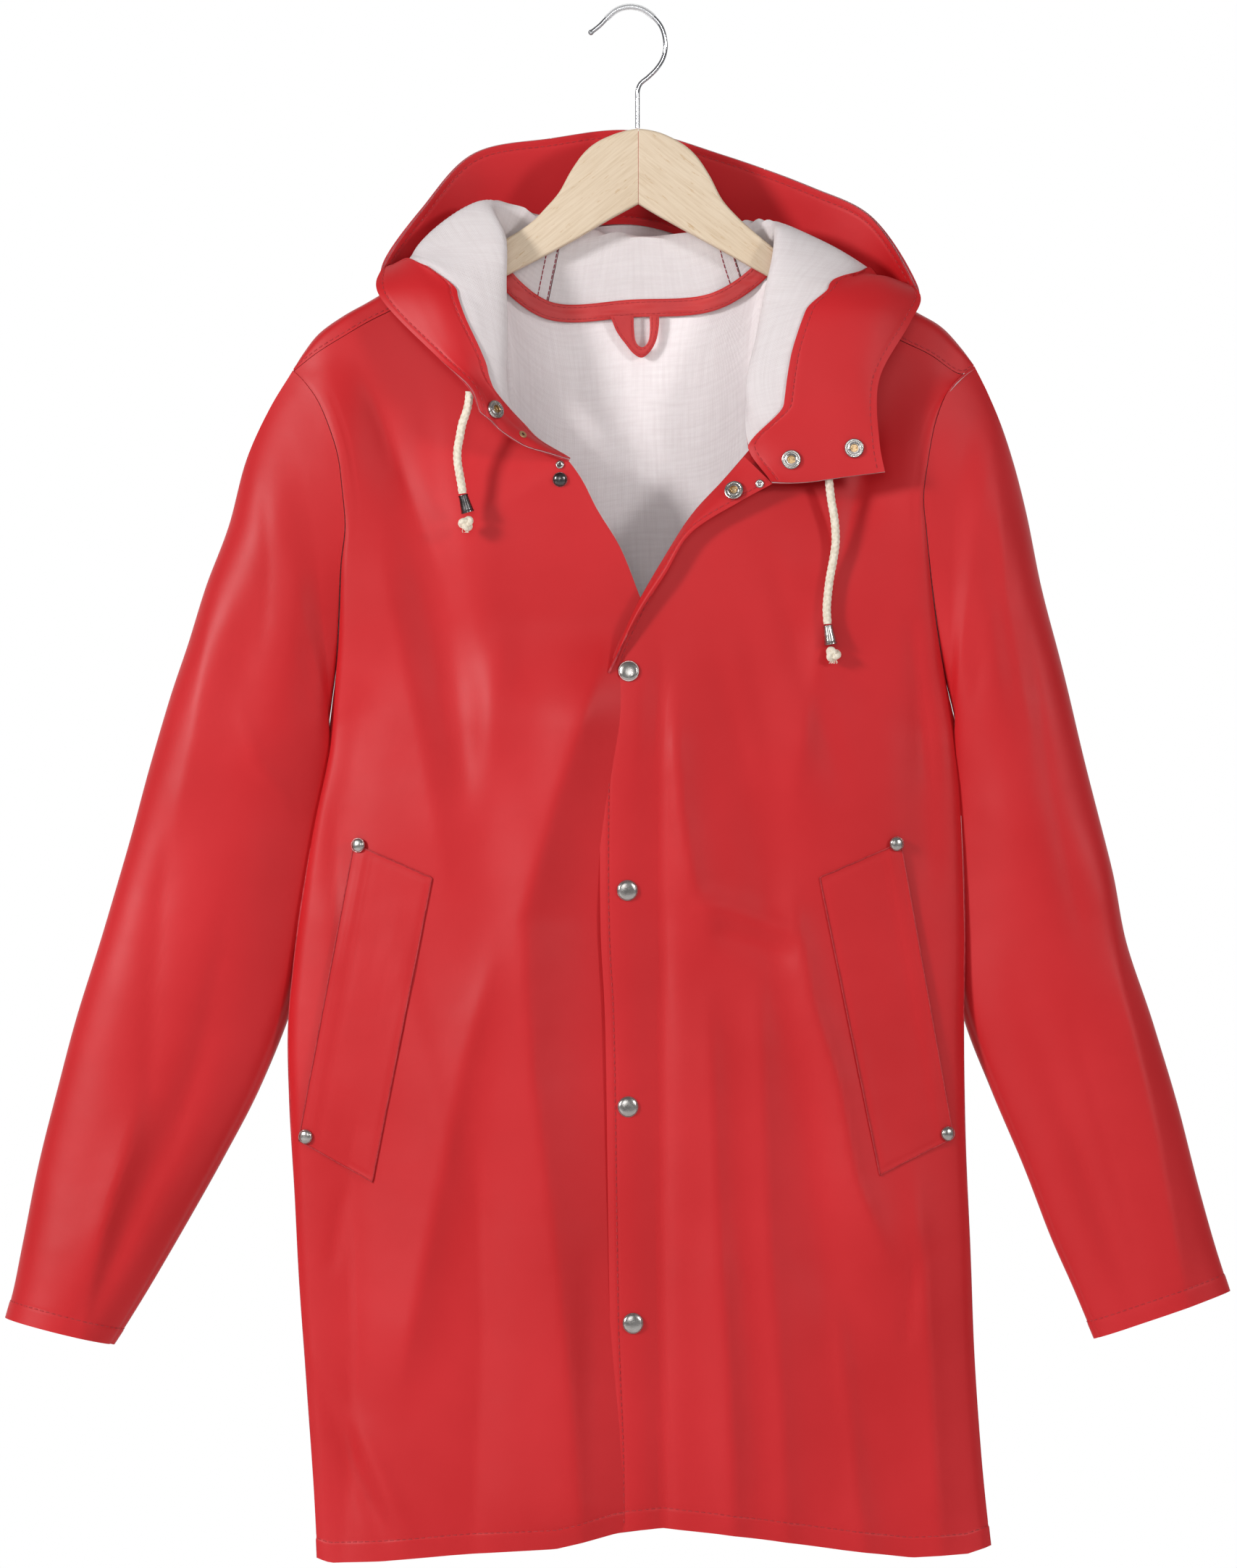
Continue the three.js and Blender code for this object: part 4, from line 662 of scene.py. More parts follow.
def shoulder_strip(back_at, ridge, shoulder, neck_end, front_end, left):
    crest_line = path(dense([(x, 0, z) for x, z in ridge], 60))
    peak = panel_neck(np.array([float(neck_end)]))[0]
    seam = path(dense(list(shoulder) + [panel_neck(np.array([float(front_end)]))[0]], 60))

    def at(a, b):
        """a: list across from tip to neck (left) or neck to tip (right); b: list over the fold."""
        t = a if left else 1 - a
        u = t * SHOULDER_SHARE if left else 1 - t * SHOULDER_SHARE
        backs = back_at(u, np.ones_like(u))
        crests = crest_line(t)
        crests = mix(crests, peak, smooth(0.9, 1, t)[:, None])
        fronts = seam(t)
        result = np.empty((len(b), len(a), 3))
        for i in range(len(a)):
            full = float(smooth(1, 0.93, t[i]))
            drop = mix(0.5, 0.06, full)
            rows = [backs[i]]
            for other, share in ((backs[i], 0.5), (fronts[i], mix(0.5, STRIP_FRONT, full))):
                between = mix(crests[i], other, share)
                between[2] = mix(crests[i][2], other[2], drop)
                rows.append(between)
            rows = [rows[0], rows[1], crests[i], rows[2], fronts[i]]
            result[:, i] = Spline(rows).by_length(b)
        return result

    return at


def sleeve(table, armhole, away, extra, pleats):
    front = path(dense([(row[0], row[2], row[1]) for row in armhole], 80))
    back = path(dense([(row[0], row[3], row[1]) for row in armhole], 80))
    tip, pit = armhole[0], armhole[-1]
    rows = [(tip[0], tip[1], pit[0], pit[1], SIDE_SEAM_Y, 26)] + list(table)
    outer = Spline([(row[0], 0, row[1]) for row in rows])
    tuck = [-away * SLEEVE_TUCK * smooth(-462, -490, row[3]) * smooth(-745, -640, row[3])
            for row in rows]
    inner = Spline([(row[2] + near, row[4], row[3]) for row, near in zip(rows, tuck)])
    half = Spline([(row[5], 0, i) for i, row in enumerate(rows)])

    def oval(angle, v):
        share = ((1 - np.cos(angle)) / 2)[..., None]
        point = mix(outer.at(v), inner.at(v), share)
        point[..., 1] -= half.at(v)[..., 0] * np.sin(angle)
        return point

    def at(u, v):
        u, v = np.broadcast_arrays(np.asarray(u, float), np.asarray(v, float))
        angle = u * 2 * math.pi
        point = oval(angle, v)
        ring = np.where((angle <= math.pi)[..., None], front(angle / math.pi),
                        back(2 - angle / math.pi))
        easing = np.where(v < SLEEVE_EASING, (1 - v / SLEEVE_EASING) ** 2, 0)[..., None]
        point = point + (ring - oval(angle, np.zeros_like(v))) * easing
        point[..., 0] += away * ARMHOLE_GAP
        point[..., 2] -= ARMHOLE_GAP / 2
        push = 0
        for along, around, length, width, depth in SLEEVE_FOLDS + extra:
            far = ((v - along) / length) ** 2 + ((u - around) / width) ** 2
            push = push + depth * np.exp(-far)
        push = push + pleats_at(pleats, point[..., 0], point[..., 2])
        facing = np.where(angle < math.pi, 1, -1) * np.minimum(1, np.abs(np.sin(angle)) * 1.6)
        point[..., 1] += push * facing * smooth(0, 0.06, v)
        return point

    return at


def lapel_parts():
    roll = path(dense(list(OVER_EDGE[-5:]) + [panel_neck(np.array([float(OVER_TOP)]))[0]], 80))
    free = path(dense(LAPEL_EDGE, 60))

    def at(u, v):
        u, v = np.broadcast_arrays(np.asarray(u, float), np.asarray(v, float))
        point = mix(roll(v * LAPEL_TOP), free(v), mix(0.02, 1, u)[..., None])
        swell = np.sin(math.pi * u) * smooth(0, 0.3, v)
        point[..., 1] -= LAPEL_SWELL * swell + CLOTH + LAY_GAP
        return point

    return at


# Meshes
def grid_normals(points, wrap):
    if wrap:
        across = np.roll(points, -1, axis=1) - np.roll(points, 1, axis=1)
    else:
        across = np.gradient(points, axis=1)
    up = np.gradient(points, axis=0)
    return unit(np.cross(across, up))


def distance_from(points, side):
    """Length in millimetres of every grid point from one side of its grid."""
    axis = 0 if side in ("bottom", "top") else 1
    steps = np.linalg.norm(np.diff(points, axis=axis), axis=2)
    zero = np.zeros_like(np.take(steps, [0], axis=axis))
    reach = np.concatenate([zero, np.cumsum(steps, axis=axis)], axis=axis)
    if side in ("top", "right"):
        reach = np.take(reach, [-1], axis=axis) - reach
    return reach


def groove(reach, at, width, depth):
    """Relief of a pressed line that lies at a distance in from an edge."""
    return -depth * np.exp(-(((reach - at) / width) ** 2))


def doubled(reach, width, height=0.45, dip=0.4):
    """Relief of a turned edge: a thicker band up to its stitches, which pull the cloth in."""
    band = height * smooth(width + 1.2, width - 0.6, reach)
    return band + groove(reach, width, 0.9, dip)


def line_at(points, normals, side, width):
    """The line on a grid that lies width in from one side."""
    reach = distance_from(points, side)
    if side in ("left", "right"):
        points, normals = points.transpose(1, 0, 2), normals.transpose(1, 0, 2)
        reach = reach.T
    if side in ("top", "right"):
        points, normals, reach = points[::-1], normals[::-1], reach[::-1]
    count = points.shape[1]
    line = np.empty((count, 3))
    up = np.empty((count, 3))
    for i in range(count):
        for k in range(3):
            line[i, k] = np.interp(width, reach[:, i], points[:, i, k])
            up[i, k] = np.interp(width, reach[:, i], normals[:, i, k])
    return line, unit(up)


def refined(count, ends):
    """Shares from 0 to 1, with more of them close to the named end lengths."""
    shares = [np.linspace(0, 1, count)]
    for end, near in ends:
        shares.append(np.array([end + d for d in near]))
    values = np.unique(np.round(np.concatenate(shares), 5))
    return values[(values >= 0) & (values <= 1)]


def make_mesh(name, points, faces, materials, slots=None, uvs=None, smooth_angle=50):
    mesh = bpy.data.meshes.new(name)
    mesh.from_pydata((np.asarray(points) * MM).tolist(), [], faces)
    for material in materials:
        mesh.materials.append(material)
    if slots is not None:
        mesh.polygons.foreach_set("material_index", np.asarray(slots, dtype=np.int32))
    if uvs is not None:
        layer = mesh.uv_layers.new(name="cloth")
        corner = np.empty(len(mesh.loops), dtype=np.int32)
        mesh.loops.foreach_get("vertex_index", corner)
        layer.data.foreach_set("uv", np.asarray(uvs, float)[corner].ravel())
    mesh.shade_smooth()
    mesh.set_sharp_from_angle(angle=math.radians(smooth_angle))
    mesh.update()
    piece = bpy.data.objects.new(name, mesh)
    bpy.context.scene.collection.objects.link(piece)
    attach(piece, "root")
    return piece


def grid_uvs(points):
    """Metres across and up the cloth for every grid point."""
    middle = points[points.shape[0] // 2]
    column = points[:, points.shape[1] // 2]
    across, up = np.meshgrid(lengths(middle), lengths(column))
    return np.stack([across, up], axis=-1).reshape(-1, 2) * MM


def shell(name, points, thickness, outward, materials, wrap=False, relief=None):
    """A closed sheet: its outer face on the points, its inner face thickness behind."""
    rows, columns = points.shape[:2]
    normals = grid_normals(points, wrap) * outward
    outer = points if relief is None else points + normals * relief[..., None]
    inner = points - normals * thickness
    count = rows * columns
    index = np.arange(count).reshape(rows, columns)
    a = index[:-1, :] if wrap else index[:-1, :-1]
    b = np.roll(index, -1, axis=1)[:-1, :] if wrap else index[:-1, 1:]
    c = np.roll(index, -1, axis=1)[1:, :] if wrap else index[1:, 1:]
    d = index[1:, :] if wrap else index[1:, :-1]
    front = np.stack([a, b, c, d], axis=-1).reshape(-1, 4)
    if outward < 0:
        front = front[:, ::-1]
    back = front[:, ::-1] + count
    rim = []
    loops = [index[0], index[-1][::-1]]
    if not wrap:
        loops += [index[::-1, 0], index[:, -1]]
    for loop in loops:
        ends = np.roll(loop, -1) if wrap else loop[1:]
        starts = loop if wrap else loop[:-1]
        rim.append(np.stack([ends, starts, starts + count, ends + count], axis=-1))
    rim = np.concatenate(rim)
    if outward < 0:
        rim = rim[:, ::-1]
    faces = np.concatenate([front, back, rim])
    slots = np.concatenate([np.zeros(len(front)), np.ones(len(back)), np.full(len(rim), 2)])
    uv = grid_uvs(points)
    piece = make_mesh(name, np.vstack([outer.reshape(-1, 3), inner.reshape(-1, 3)]),
                      faces.tolist(), materials, slots, np.vstack([uv, uv]))
    return piece, outer, normals


def stitches(name, lines, material, length=3.1, gap=1.5, radius=0.42):
    """Short rounded threads along lines of points and normals."""
    turn = np.linspace(0, 2 * math.pi, 6, endpoint=False)
    stations = ((-0.5, 0.35), (-0.32, 0.9), (0.32, 0.9), (0.5, 0.35))
    points, faces = [], []
    for line, up in lines:
        reach = lengths(line)
        centres = np.arange(length, reach[-1] - length, length + gap)
        if not len(centres):
            continue
        place = np.stack([np.interp(centres, reach, line[:, k]) for k in range(3)], axis=-1)
        ahead = np.stack([np.interp(centres + 1, reach, line[:, k]) for k in range(3)], axis=-1)
        behind = np.stack([np.interp(centres - 1, reach, line[:, k]) for k in range(3)], axis=-1)
        along = unit(ahead - behind)
        normal = unit(np.stack([np.interp(centres, reach, up[:, k]) for k in range(3)], axis=-1))
        across = unit(np.cross(along, normal))
        for p, t, n, s in zip(place, along, normal, across):
            base = len(points)
            for where, share in stations:
                for angle in turn:
                    ring = math.cos(angle) * s + math.sin(angle) * n * 0.8
                    points.append(p + t * where * length + ring * radius * share + n * 0.12)
            for j in range(3):
                for i in range(6):
                    k = (i + 1) % 6
                    faces.append((base + j * 6 + i, base + j * 6 + k,
                                  base + j * 6 + 6 + k, base + j * 6 + 6 + i))
            faces.append(tuple(base + i for i in range(5, -1, -1)))
            faces.append(tuple(base + 18 + i for i in range(6)))
    piece = make_mesh(name, points, faces, [material], smooth_angle=80)
    return piece


def frames_along(line):
    """Two directions square to a line that turn as little as they can along it."""
    tangent = unit(np.gradient(line, axis=0))
    side = np.cross(tangent[0], [0, 0, 1.0])
    if np.linalg.norm(side) < 0.2:
        side = np.cross(tangent[0], [0, 1.0, 0])
    sides = [unit(side)]
    for i in range(1, len(line)):
        kept = sides[-1] - tangent[i] * np.dot(sides[-1], tangent[i])
        sides.append(unit(kept))
    sides = np.array(sides)
    return sides, np.cross(tangent, sides)


def tube_parts(line, radius, sides):
    """Points, faces and cloth places of a closed tube along a line."""
    line = np.asarray(line, float)
    first, second = frames_along(line)
    angle = np.linspace(0, 2 * math.pi, sides, endpoint=False)
    size = np.broadcast_to(np.asarray(radius, float), (len(line), sides))
    ring = (np.cos(angle)[None, :, None] * first[:, None]
            + np.sin(angle)[None, :, None] * second[:, None])
    points = (line[:, None] + ring * size[..., None]).reshape(-1, 3)
    index = np.arange(len(line) * sides).reshape(len(line), sides)
    after = np.roll(index, -1, axis=1)
    faces = np.stack([index[:-1], after[:-1], after[1:], index[1:]], axis=-1)
    faces = faces.reshape(-1, 4).tolist()
    faces.append(index[0][::-1].tolist())
    faces.append(index[-1].tolist())
    across = np.broadcast_to(angle / (2 * math.pi), index.shape)
    up = np.broadcast_to((lengths(line) * MM)[:, None], index.shape)
    return points, faces, np.stack([across, up], axis=-1).reshape(-1, 2)


def tube(name, lines, materials, smooth_angle):
    """One piece from tubes, each a line, a radius (or one for each ring and side), and sides."""
    points, faces, uvs, base = [], [], [], 0
    for line, radius, sides in lines:
        part_points, part_faces, part_uvs = tube_parts(line, radius, sides)
        points.append(part_points)
        uvs.append(part_uvs)
        faces += [[base + corner for corner in face] for face in part_faces]
        base += len(part_points)
    return make_mesh(name, np.concatenate(points), faces, materials,
                     uvs=np.concatenate(uvs), smooth_angle=smooth_angle)


def turned(profile, seat, normal, sides, slots=None):
    """Points, faces and slots of a turned piece, its profile rows being radius and height."""
    normal = unit(np.asarray(normal, float))
    side = unit(np.cross(normal, [0.31, 0.2, 0.93]))
    other = np.cross(normal, side)
    angle = np.linspace(0, 2 * math.pi, sides, endpoint=False)
    ring = np.cos(angle)[:, None] * side + np.sin(angle)[:, None] * other
    points = [np.asarray(seat) + ring * max(r, 0.001) + normal * h for r, h in profile]
    index = np.arange(len(profile) * sides).reshape(len(profile), sides)
    after = np.roll(index, -1, axis=1)
    faces = np.stack([index[:-1], after[:-1], after[1:], index[1:]], axis=-1).reshape(-1, 4)
    used = np.repeat(np.zeros(len(profile) - 1) if slots is None else slots, sides)
    return np.concatenate(points), faces, used


def lathe(name, parts, materials):
    """One piece from the turned parts given."""
    points, faces, slots, base = [], [], [], 0
    for part_points, part_faces, part_slots in parts:
        points.append(part_points)
        faces += (part_faces + base).tolist()
        slots.append(part_slots)
        base += len(part_points)
    return make_mesh(name, np.concatenate(points), faces, materials,
                     slots=np.concatenate(slots), smooth_angle=40)


def stand_for(node):
    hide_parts(node)


# Materials
def new_material(name):
    material = bpy.data.materials.new(name)
    material.use_nodes = True
    shader = material.node_tree.nodes["Principled BSDF"]
    return material, material.node_tree, shader


def add(tree, kind, values=None, **settings):
    node = tree.nodes.new(kind)
    for key, value in settings.items():
        setattr(node, key, value)
    for key, value in (values or {}).items():
        node.inputs[key].default_value = value
    return node


def ramp(tree, factor, stops):
    node = add(tree, "ShaderNodeValToRGB")
    elements = node.color_ramp.elements
    while len(elements) < len(stops):
        elements.new(0.5)
    for element, (place, colour) in zip(elements, stops):
        element.position = place
        element.color = (*colour, 1)
    tree.links.new(factor, node.inputs["Fac"])
    return node.outputs["Color"]


def noise(tree, scale, detail, source="Object", roughness=0.5, stretch=None):
    place = add(tree, "ShaderNodeTexCoord").outputs[source]
    if stretch:
        mapping = add(tree, "ShaderNodeMapping", {"Scale": stretch})
        tree.links.new(place, mapping.inputs["Vector"])
        place = mapping.outputs["Vector"]
    node = add(tree, "ShaderNodeTexNoise",
               {"Scale": scale, "Detail": detail, "Roughness": roughness})
    tree.links.new(place, node.inputs["Vector"])
    return node.outputs["Fac"]


def wave(tree, scale, direction):
    place = add(tree, "ShaderNodeTexCoord").outputs["UV"]
    node = add(tree, "ShaderNodeTexWave", {"Scale": scale, "Distortion": 0.6,
               "Detail": 2, "Detail Scale": 1.5}, bands_direction=direction)
    tree.links.new(place, node.inputs["Vector"])
    return node.outputs["Fac"]


def bump(tree, shader, parts):
    """Stack bumps: each part is a height output, a strength and a distance."""
    normal = None
    for height, strength, distance in parts:
        node = add(tree, "ShaderNodeBump", {"Strength": strength, "Distance": distance})
        tree.links.new(height, node.inputs["Height"])
        if normal:
            tree.links.new(normal, node.inputs["Normal"])
        normal = node.outputs["Normal"]
    tree.links.new(normal, shader.inputs["Normal"])


def plain_look(name, grain, stops, values, bumps=()):
    """A material toned by one noise; each bump is a scale, detail, strength and distance."""
    material, tree, shader = new_material(name)
    colour = ramp(tree, noise(tree, *grain), stops)
    tree.links.new(colour, shader.inputs["Base Color"])
    for key, value in values.items():
        shader.inputs[key].default_value = value
    if bumps:
        bump(tree, shader, [(noise(tree, scale, detail), strength, distance)
                            for scale, detail, strength, distance in bumps])
    return material


def rubber_red():
    """Smooth rubber coat over cotton: satin, with a faint cloth grain and cloudy wear."""
    material, tree, shader = new_material("rubber_red")
    cloud = noise(tree, 5.5, 4, roughness=0.55)
    deep = (0.49, 0.006, 0.009)
    fair = (0.57, 0.013, 0.018)
    colour = ramp(tree, cloud, [(0.3, deep), (0.7, fair)])
    tree.links.new(colour, shader.inputs["Base Color"])
    rough = ramp(tree, noise(tree, 9, 5), [(0.3, (0.47,) * 3), (0.75, (0.59,) * 3)])
    tree.links.new(rough, shader.inputs["Roughness"])
    shader.inputs["Specular IOR Level"].default_value = 0.34
    shader.inputs["Sheen Weight"].default_value = 0.03
    shader.inputs["Sheen Roughness"].default_value = 0.5
    bump(tree, shader, [(noise(tree, 1400, 2), 0.10, 0.0003),
                        (noise(tree, 60, 3), 0.12, 0.0012),
                        (noise(tree, 16, 2), 0.25, 0.0040)])
    return material


def woven_pale(name, lift):
    """Uncoated cotton side: plain weave with slubs, faintly pink."""
    material, tree, shader = new_material(name)
    slub = noise(tree, 26, 4, "UV", stretch=(14, 1, 1))
    pick = noise(tree, 26, 4, "UV", stretch=(1, 14, 1))
    mixed = add(tree, "ShaderNodeMath", operation="MULTIPLY")
    tree.links.new(slub, mixed.inputs[0])
    tree.links.new(pick, mixed.inputs[1])
    tones = ((0.10, (0.715, 0.645, 0.65)), (0.27, (0.76, 0.695, 0.70)), (0.42, (0.785, 0.725, 0.73)))
    stops = [(place, tuple(lift * value for value in tone)) for place, tone in tones]
    colour = ramp(tree, mixed.outputs[0], stops)
    tree.links.new(colour, shader.inputs["Base Color"])
    shader.inputs["Roughness"].default_value = 0.92
    shader.inputs["Specular IOR Level"].default_value = 0.2
    shader.inputs["Sheen Weight"].default_value = 0.15
    warp = wave(tree, 330, "X")
    weft = wave(tree, 330, "Y")
    bump(tree, shader, [(warp, 0.3, 0.0003), (weft, 0.3, 0.0003),
                        (noise(tree, 70, 3), 0.1, 0.0010),
                        (noise(tree, 14, 2), 0.25, 0.0050)])
    return material


def thread(name, dark, fair):
    return plain_look(name, (500, 2), [(0.3, dark), (0.7, fair)], {"Roughness": 0.7},
                      [(1500, 2, 0.4, 0.0003)])


def beech():
    """Pale beech with long fine pores, brown flecks and a slow change of tone."""
    material, tree, shader = new_material("beech")
    grain = noise(tree, 26, 6, "UV", stretch=(1.2, 22, 1), roughness=0.6)
    tone = noise(tree, 9, 2, "UV", stretch=(1, 4, 1))
    base = ramp(tree, grain, [(0.30, (0.62, 0.48, 0.335)), (0.52, (0.70, 0.57, 0.425)),
                              (0.75, (0.75, 0.63, 0.485))])
    slow = ramp(tree, tone, [(0.3, (0.93, 0.91, 0.88)), (0.7, (1, 1, 1))])
    first = add(tree, "ShaderNodeMix", {"Factor": 1.0}, data_type="RGBA", blend_type="MULTIPLY")
    tree.links.new(base, first.inputs[6])
    tree.links.new(slow, first.inputs[7])
    fleck = noise(tree, 190, 3, "UV", stretch=(0.35, 2.2, 1), roughness=0.7)
    marks = ramp(tree, fleck, [(0.60, (1, 1, 1)), (0.70, (0.80, 0.66, 0.50))])
    second = add(tree, "ShaderNodeMix", {"Factor": 0.8}, data_type="RGBA",
                 blend_type="MULTIPLY")
    tree.links.new(first.outputs[2], second.inputs[6])
    tree.links.new(marks, second.inputs[7])
    tree.links.new(second.outputs[2], shader.inputs["Base Color"])
    shader.inputs["Roughness"].default_value = 0.5
    shader.inputs["Specular IOR Level"].default_value = 0.35
    bump(tree, shader, [(grain, 0.12, 0.0004), (fleck, 0.1, 0.0003)])
    return material


def metal(name, dark, fair, roughness, scratch, scale=160):
    material, tree, shader = new_material(name)
    colour = ramp(tree, noise(tree, scale, 4), [(0.3, dark), (0.7, fair)])
    tree.links.new(colour, shader.inputs["Base Color"])
    shader.inputs["Metallic"].default_value = 1
    rough = ramp(tree, noise(tree, scale * 2, 4), [(0.3, (roughness * 0.8,) * 3),
                                                    (0.8, (roughness * 1.35,) * 3)])
    tree.links.new(rough, shader.inputs["Roughness"])
    bump(tree, shader, [(noise(tree, scale * 4, 2, stretch=(1, 1, 6)), scratch, 0.0002)])
    return material


RED = rubber_red()
EDGE = plain_look("cloth_edge", (260, 3), [(0.3, (0.36, 0.014, 0.022)), (0.8, (0.56, 0.05, 0.06))],
                  {"Roughness": 0.6}, [(900, 2, 0.4, 0.0003)])
PALE = woven_pale("woven_pale", 0.94)
# A lighter copy of the same pale cotton for the back's inside: painted light, brightening the inside
# of the back where the fronts shade it.
PALE_BACK_PAINTED_LIGHT = woven_pale("woven_pale_back_painted_light", 1.2)
TAPE = plain_look("tape_red", (30, 4), [(0.3, (0.46, 0.012, 0.014)), (0.75, (0.58, 0.028, 0.026))],
                  {"Roughness": 0.46}, [(45, 3, 0.5, 0.0012), (800, 2, 0.1, 0.0003)])
THREAD = thread("thread_red", (0.36, 0.012, 0.018), (0.48, 0.03, 0.035))
THREAD_DARK = thread("thread_crimson", (0.22, 0.005, 0.02), (0.36, 0.015, 0.04))
WOOD = beech()
CHROME = metal("hook_chrome", (0.42, 0.42, 0.44), (0.52, 0.53, 0.55), 0.10, 0.05, 40)
NICKEL = metal("nickel_satin", (0.36, 0.34, 0.32), (0.50, 0.48, 0.46), 0.24, 0.2)
BRASS = metal("brass_worn", (0.42, 0.27, 0.12), (0.62, 0.45, 0.26), 0.35, 0.2)
GUNMETAL = metal("gunmetal", (0.07, 0.065, 0.065), (0.16, 0.15, 0.15), 0.25, 0.1)
CORD_LOOK = plain_look("cord_cotton", (420, 3),
                       [(0.25, (0.62, 0.53, 0.40)), (0.6, (0.82, 0.745, 0.62))],
                       {"Roughness": 0.9, "Sheen Weight": 0.25}, [(1500, 2, 0.5, 0.0003)])
CLEAR = plain_look("clear_sleeve", (200, 2),
                   [(0.3, (0.88, 0.89, 0.9)), (0.7, (0.95, 0.95, 0.96))],
                   {"Roughness": 0.18, "Alpha": 0.35, "IOR": 1.45})
COATED = (RED, PALE, EDGE)
# The back's colours use that lighter pale copy: painted light.
COATED_BACK_PAINTED_LIGHT = (RED, PALE_BACK_PAINTED_LIGHT, EDGE)


# Camera, in metres
FRAME_HIGH = 1.1193
CAMERA_AWAY = 6.0
COAT_MIDDLE = (-0.0083, -0.02, -0.5543)


def make_camera():
    """Straight at the front, the frame 1119.3 mm high at the coat."""
    data = bpy.data.cameras.new("camera")
    data.sensor_width = 36
    data.lens = data.sensor_width * CAMERA_AWAY / FRAME_HIGH
    data.clip_end = 60
    camera = bpy.data.objects.new("camera", data)
    camera.location = (COAT_MIDDLE[0], COAT_MIDDLE[1] - CAMERA_AWAY, COAT_MIDDLE[2])
    camera.rotation_euler = (math.pi / 2, 0, 0)
    bpy.context.scene.collection.objects.link(camera)
    bpy.context.scene.camera = camera


# Cords and their ends
def braid(line, radius, pitch=7.5):
    """Ring radii of a braided cord: two sets of strands winding against each other."""
    sides = 24
    angle = np.linspace(0, 2 * math.pi, sides, endpoint=False)[None]
    turn = (lengths(line) / pitch * 2 * math.pi)[:, None]
    one = np.cos(4 * angle + 2 * turn)
    two = np.cos(4 * angle - 2 * turn)
    weave = np.maximum(one, two)
    return radius * (0.95 + 0.075 * weave), sides


def make_cord(side, route, tip, knot):
    line = Spline(route).by_length(np.linspace(0, 1, 150 if side == "left" else 230))
    radii, sides = braid(line, CORD_RADIUS)
    cord = tube(f"hood_cord_{side}", [(line, radii, sides)], [CORD_LOOK], 80)
    end = cord_end(side, np.array(route[-1], float), np.array(tip, float))
    lump = cord_knot(side, np.array(knot, float))
    stand_for(f"cord_{side}")


def cord_end(side, start, tip):
    """A crimped metal cone, wider at the knot, with a ring at each end."""
    axis = unit(tip - start)
    length = float(np.linalg.norm(tip - start))
    profile = [(2.7, 0.9), (3.3, 0.9), (3.5, 1.2), (3.5, 1.9), (3.25, 2.2), (3.3, 2.6)]
    for k in range(1, 9):
        profile.append((3.3 + 1.1 * k / 8, 2.6 + (length - 4.2) * k / 8))
    profile += [(4.35, length - 1.5), (4.7, length - 1.1), (4.7, length - 0.2),
                (4.45, length), (2.9, length)]
    look = GUNMETAL if side == "left" else NICKEL
    piece = lathe(f"cord_tip_{side}", [turned(profile, start, axis, 32)], [look])
    stand_for(f"cord_end_{side}")
    return piece


def cord_knot(side, centre):
    """An overhand knot pulled small: a three-lobed loop of the same braid."""
    turn = np.linspace(0, 2 * math.pi, 150, endpoint=False)
    spin = 0.4 if side == "left" else -0.5
    x = np.sin(turn) + 2 * np.sin(2 * turn)
    y = np.cos(turn) - 2 * np.cos(2 * turn)
    z = -np.sin(3 * turn)
    flat = np.stack([x * 1.3, z * 1.6, y * 1.2], axis=-1)
    rolled = flat.copy()
    rolled[:, 0] = flat[:, 0] * math.cos(spin) - flat[:, 2] * math.sin(spin)
    rolled[:, 2] = flat[:, 0] * math.sin(spin) + flat[:, 2] * math.cos(spin)
    line = np.vstack([rolled, rolled[:1]]) + centre + np.array([0, 0, 0.2])
    radii, sides = braid(line, 2.15, 6)
    lines = [(line, radii, sides)]
    rng = np.random.default_rng(5 if side == "left" else 9)
    for _ in range(9):
        points = [centre + np.array([rng.uniform(-3, 3), rng.uniform(-2, 2), -3.2])]
        for _ in range(4):
            step = [rng.uniform(-0.9, 0.9), rng.uniform(-0.9, 0.9), -0.75]
            points.append(points[-1] + np.array(step))
        lines.append((Spline(points).at(np.linspace(0, 1, 9)), 0.22, 6))
    piece = tube(f"cord_lump_{side}", lines, [CORD_LOOK], 80)
    stand_for(f"cord_knot_{side}")
    return piece


make_camera()
make_cord("left", CORD_LEFT, TIP_LEFT, KNOT_LEFT)
make_cord("right", CORD_RIGHT, TIP_RIGHT, KNOT_RIGHT)


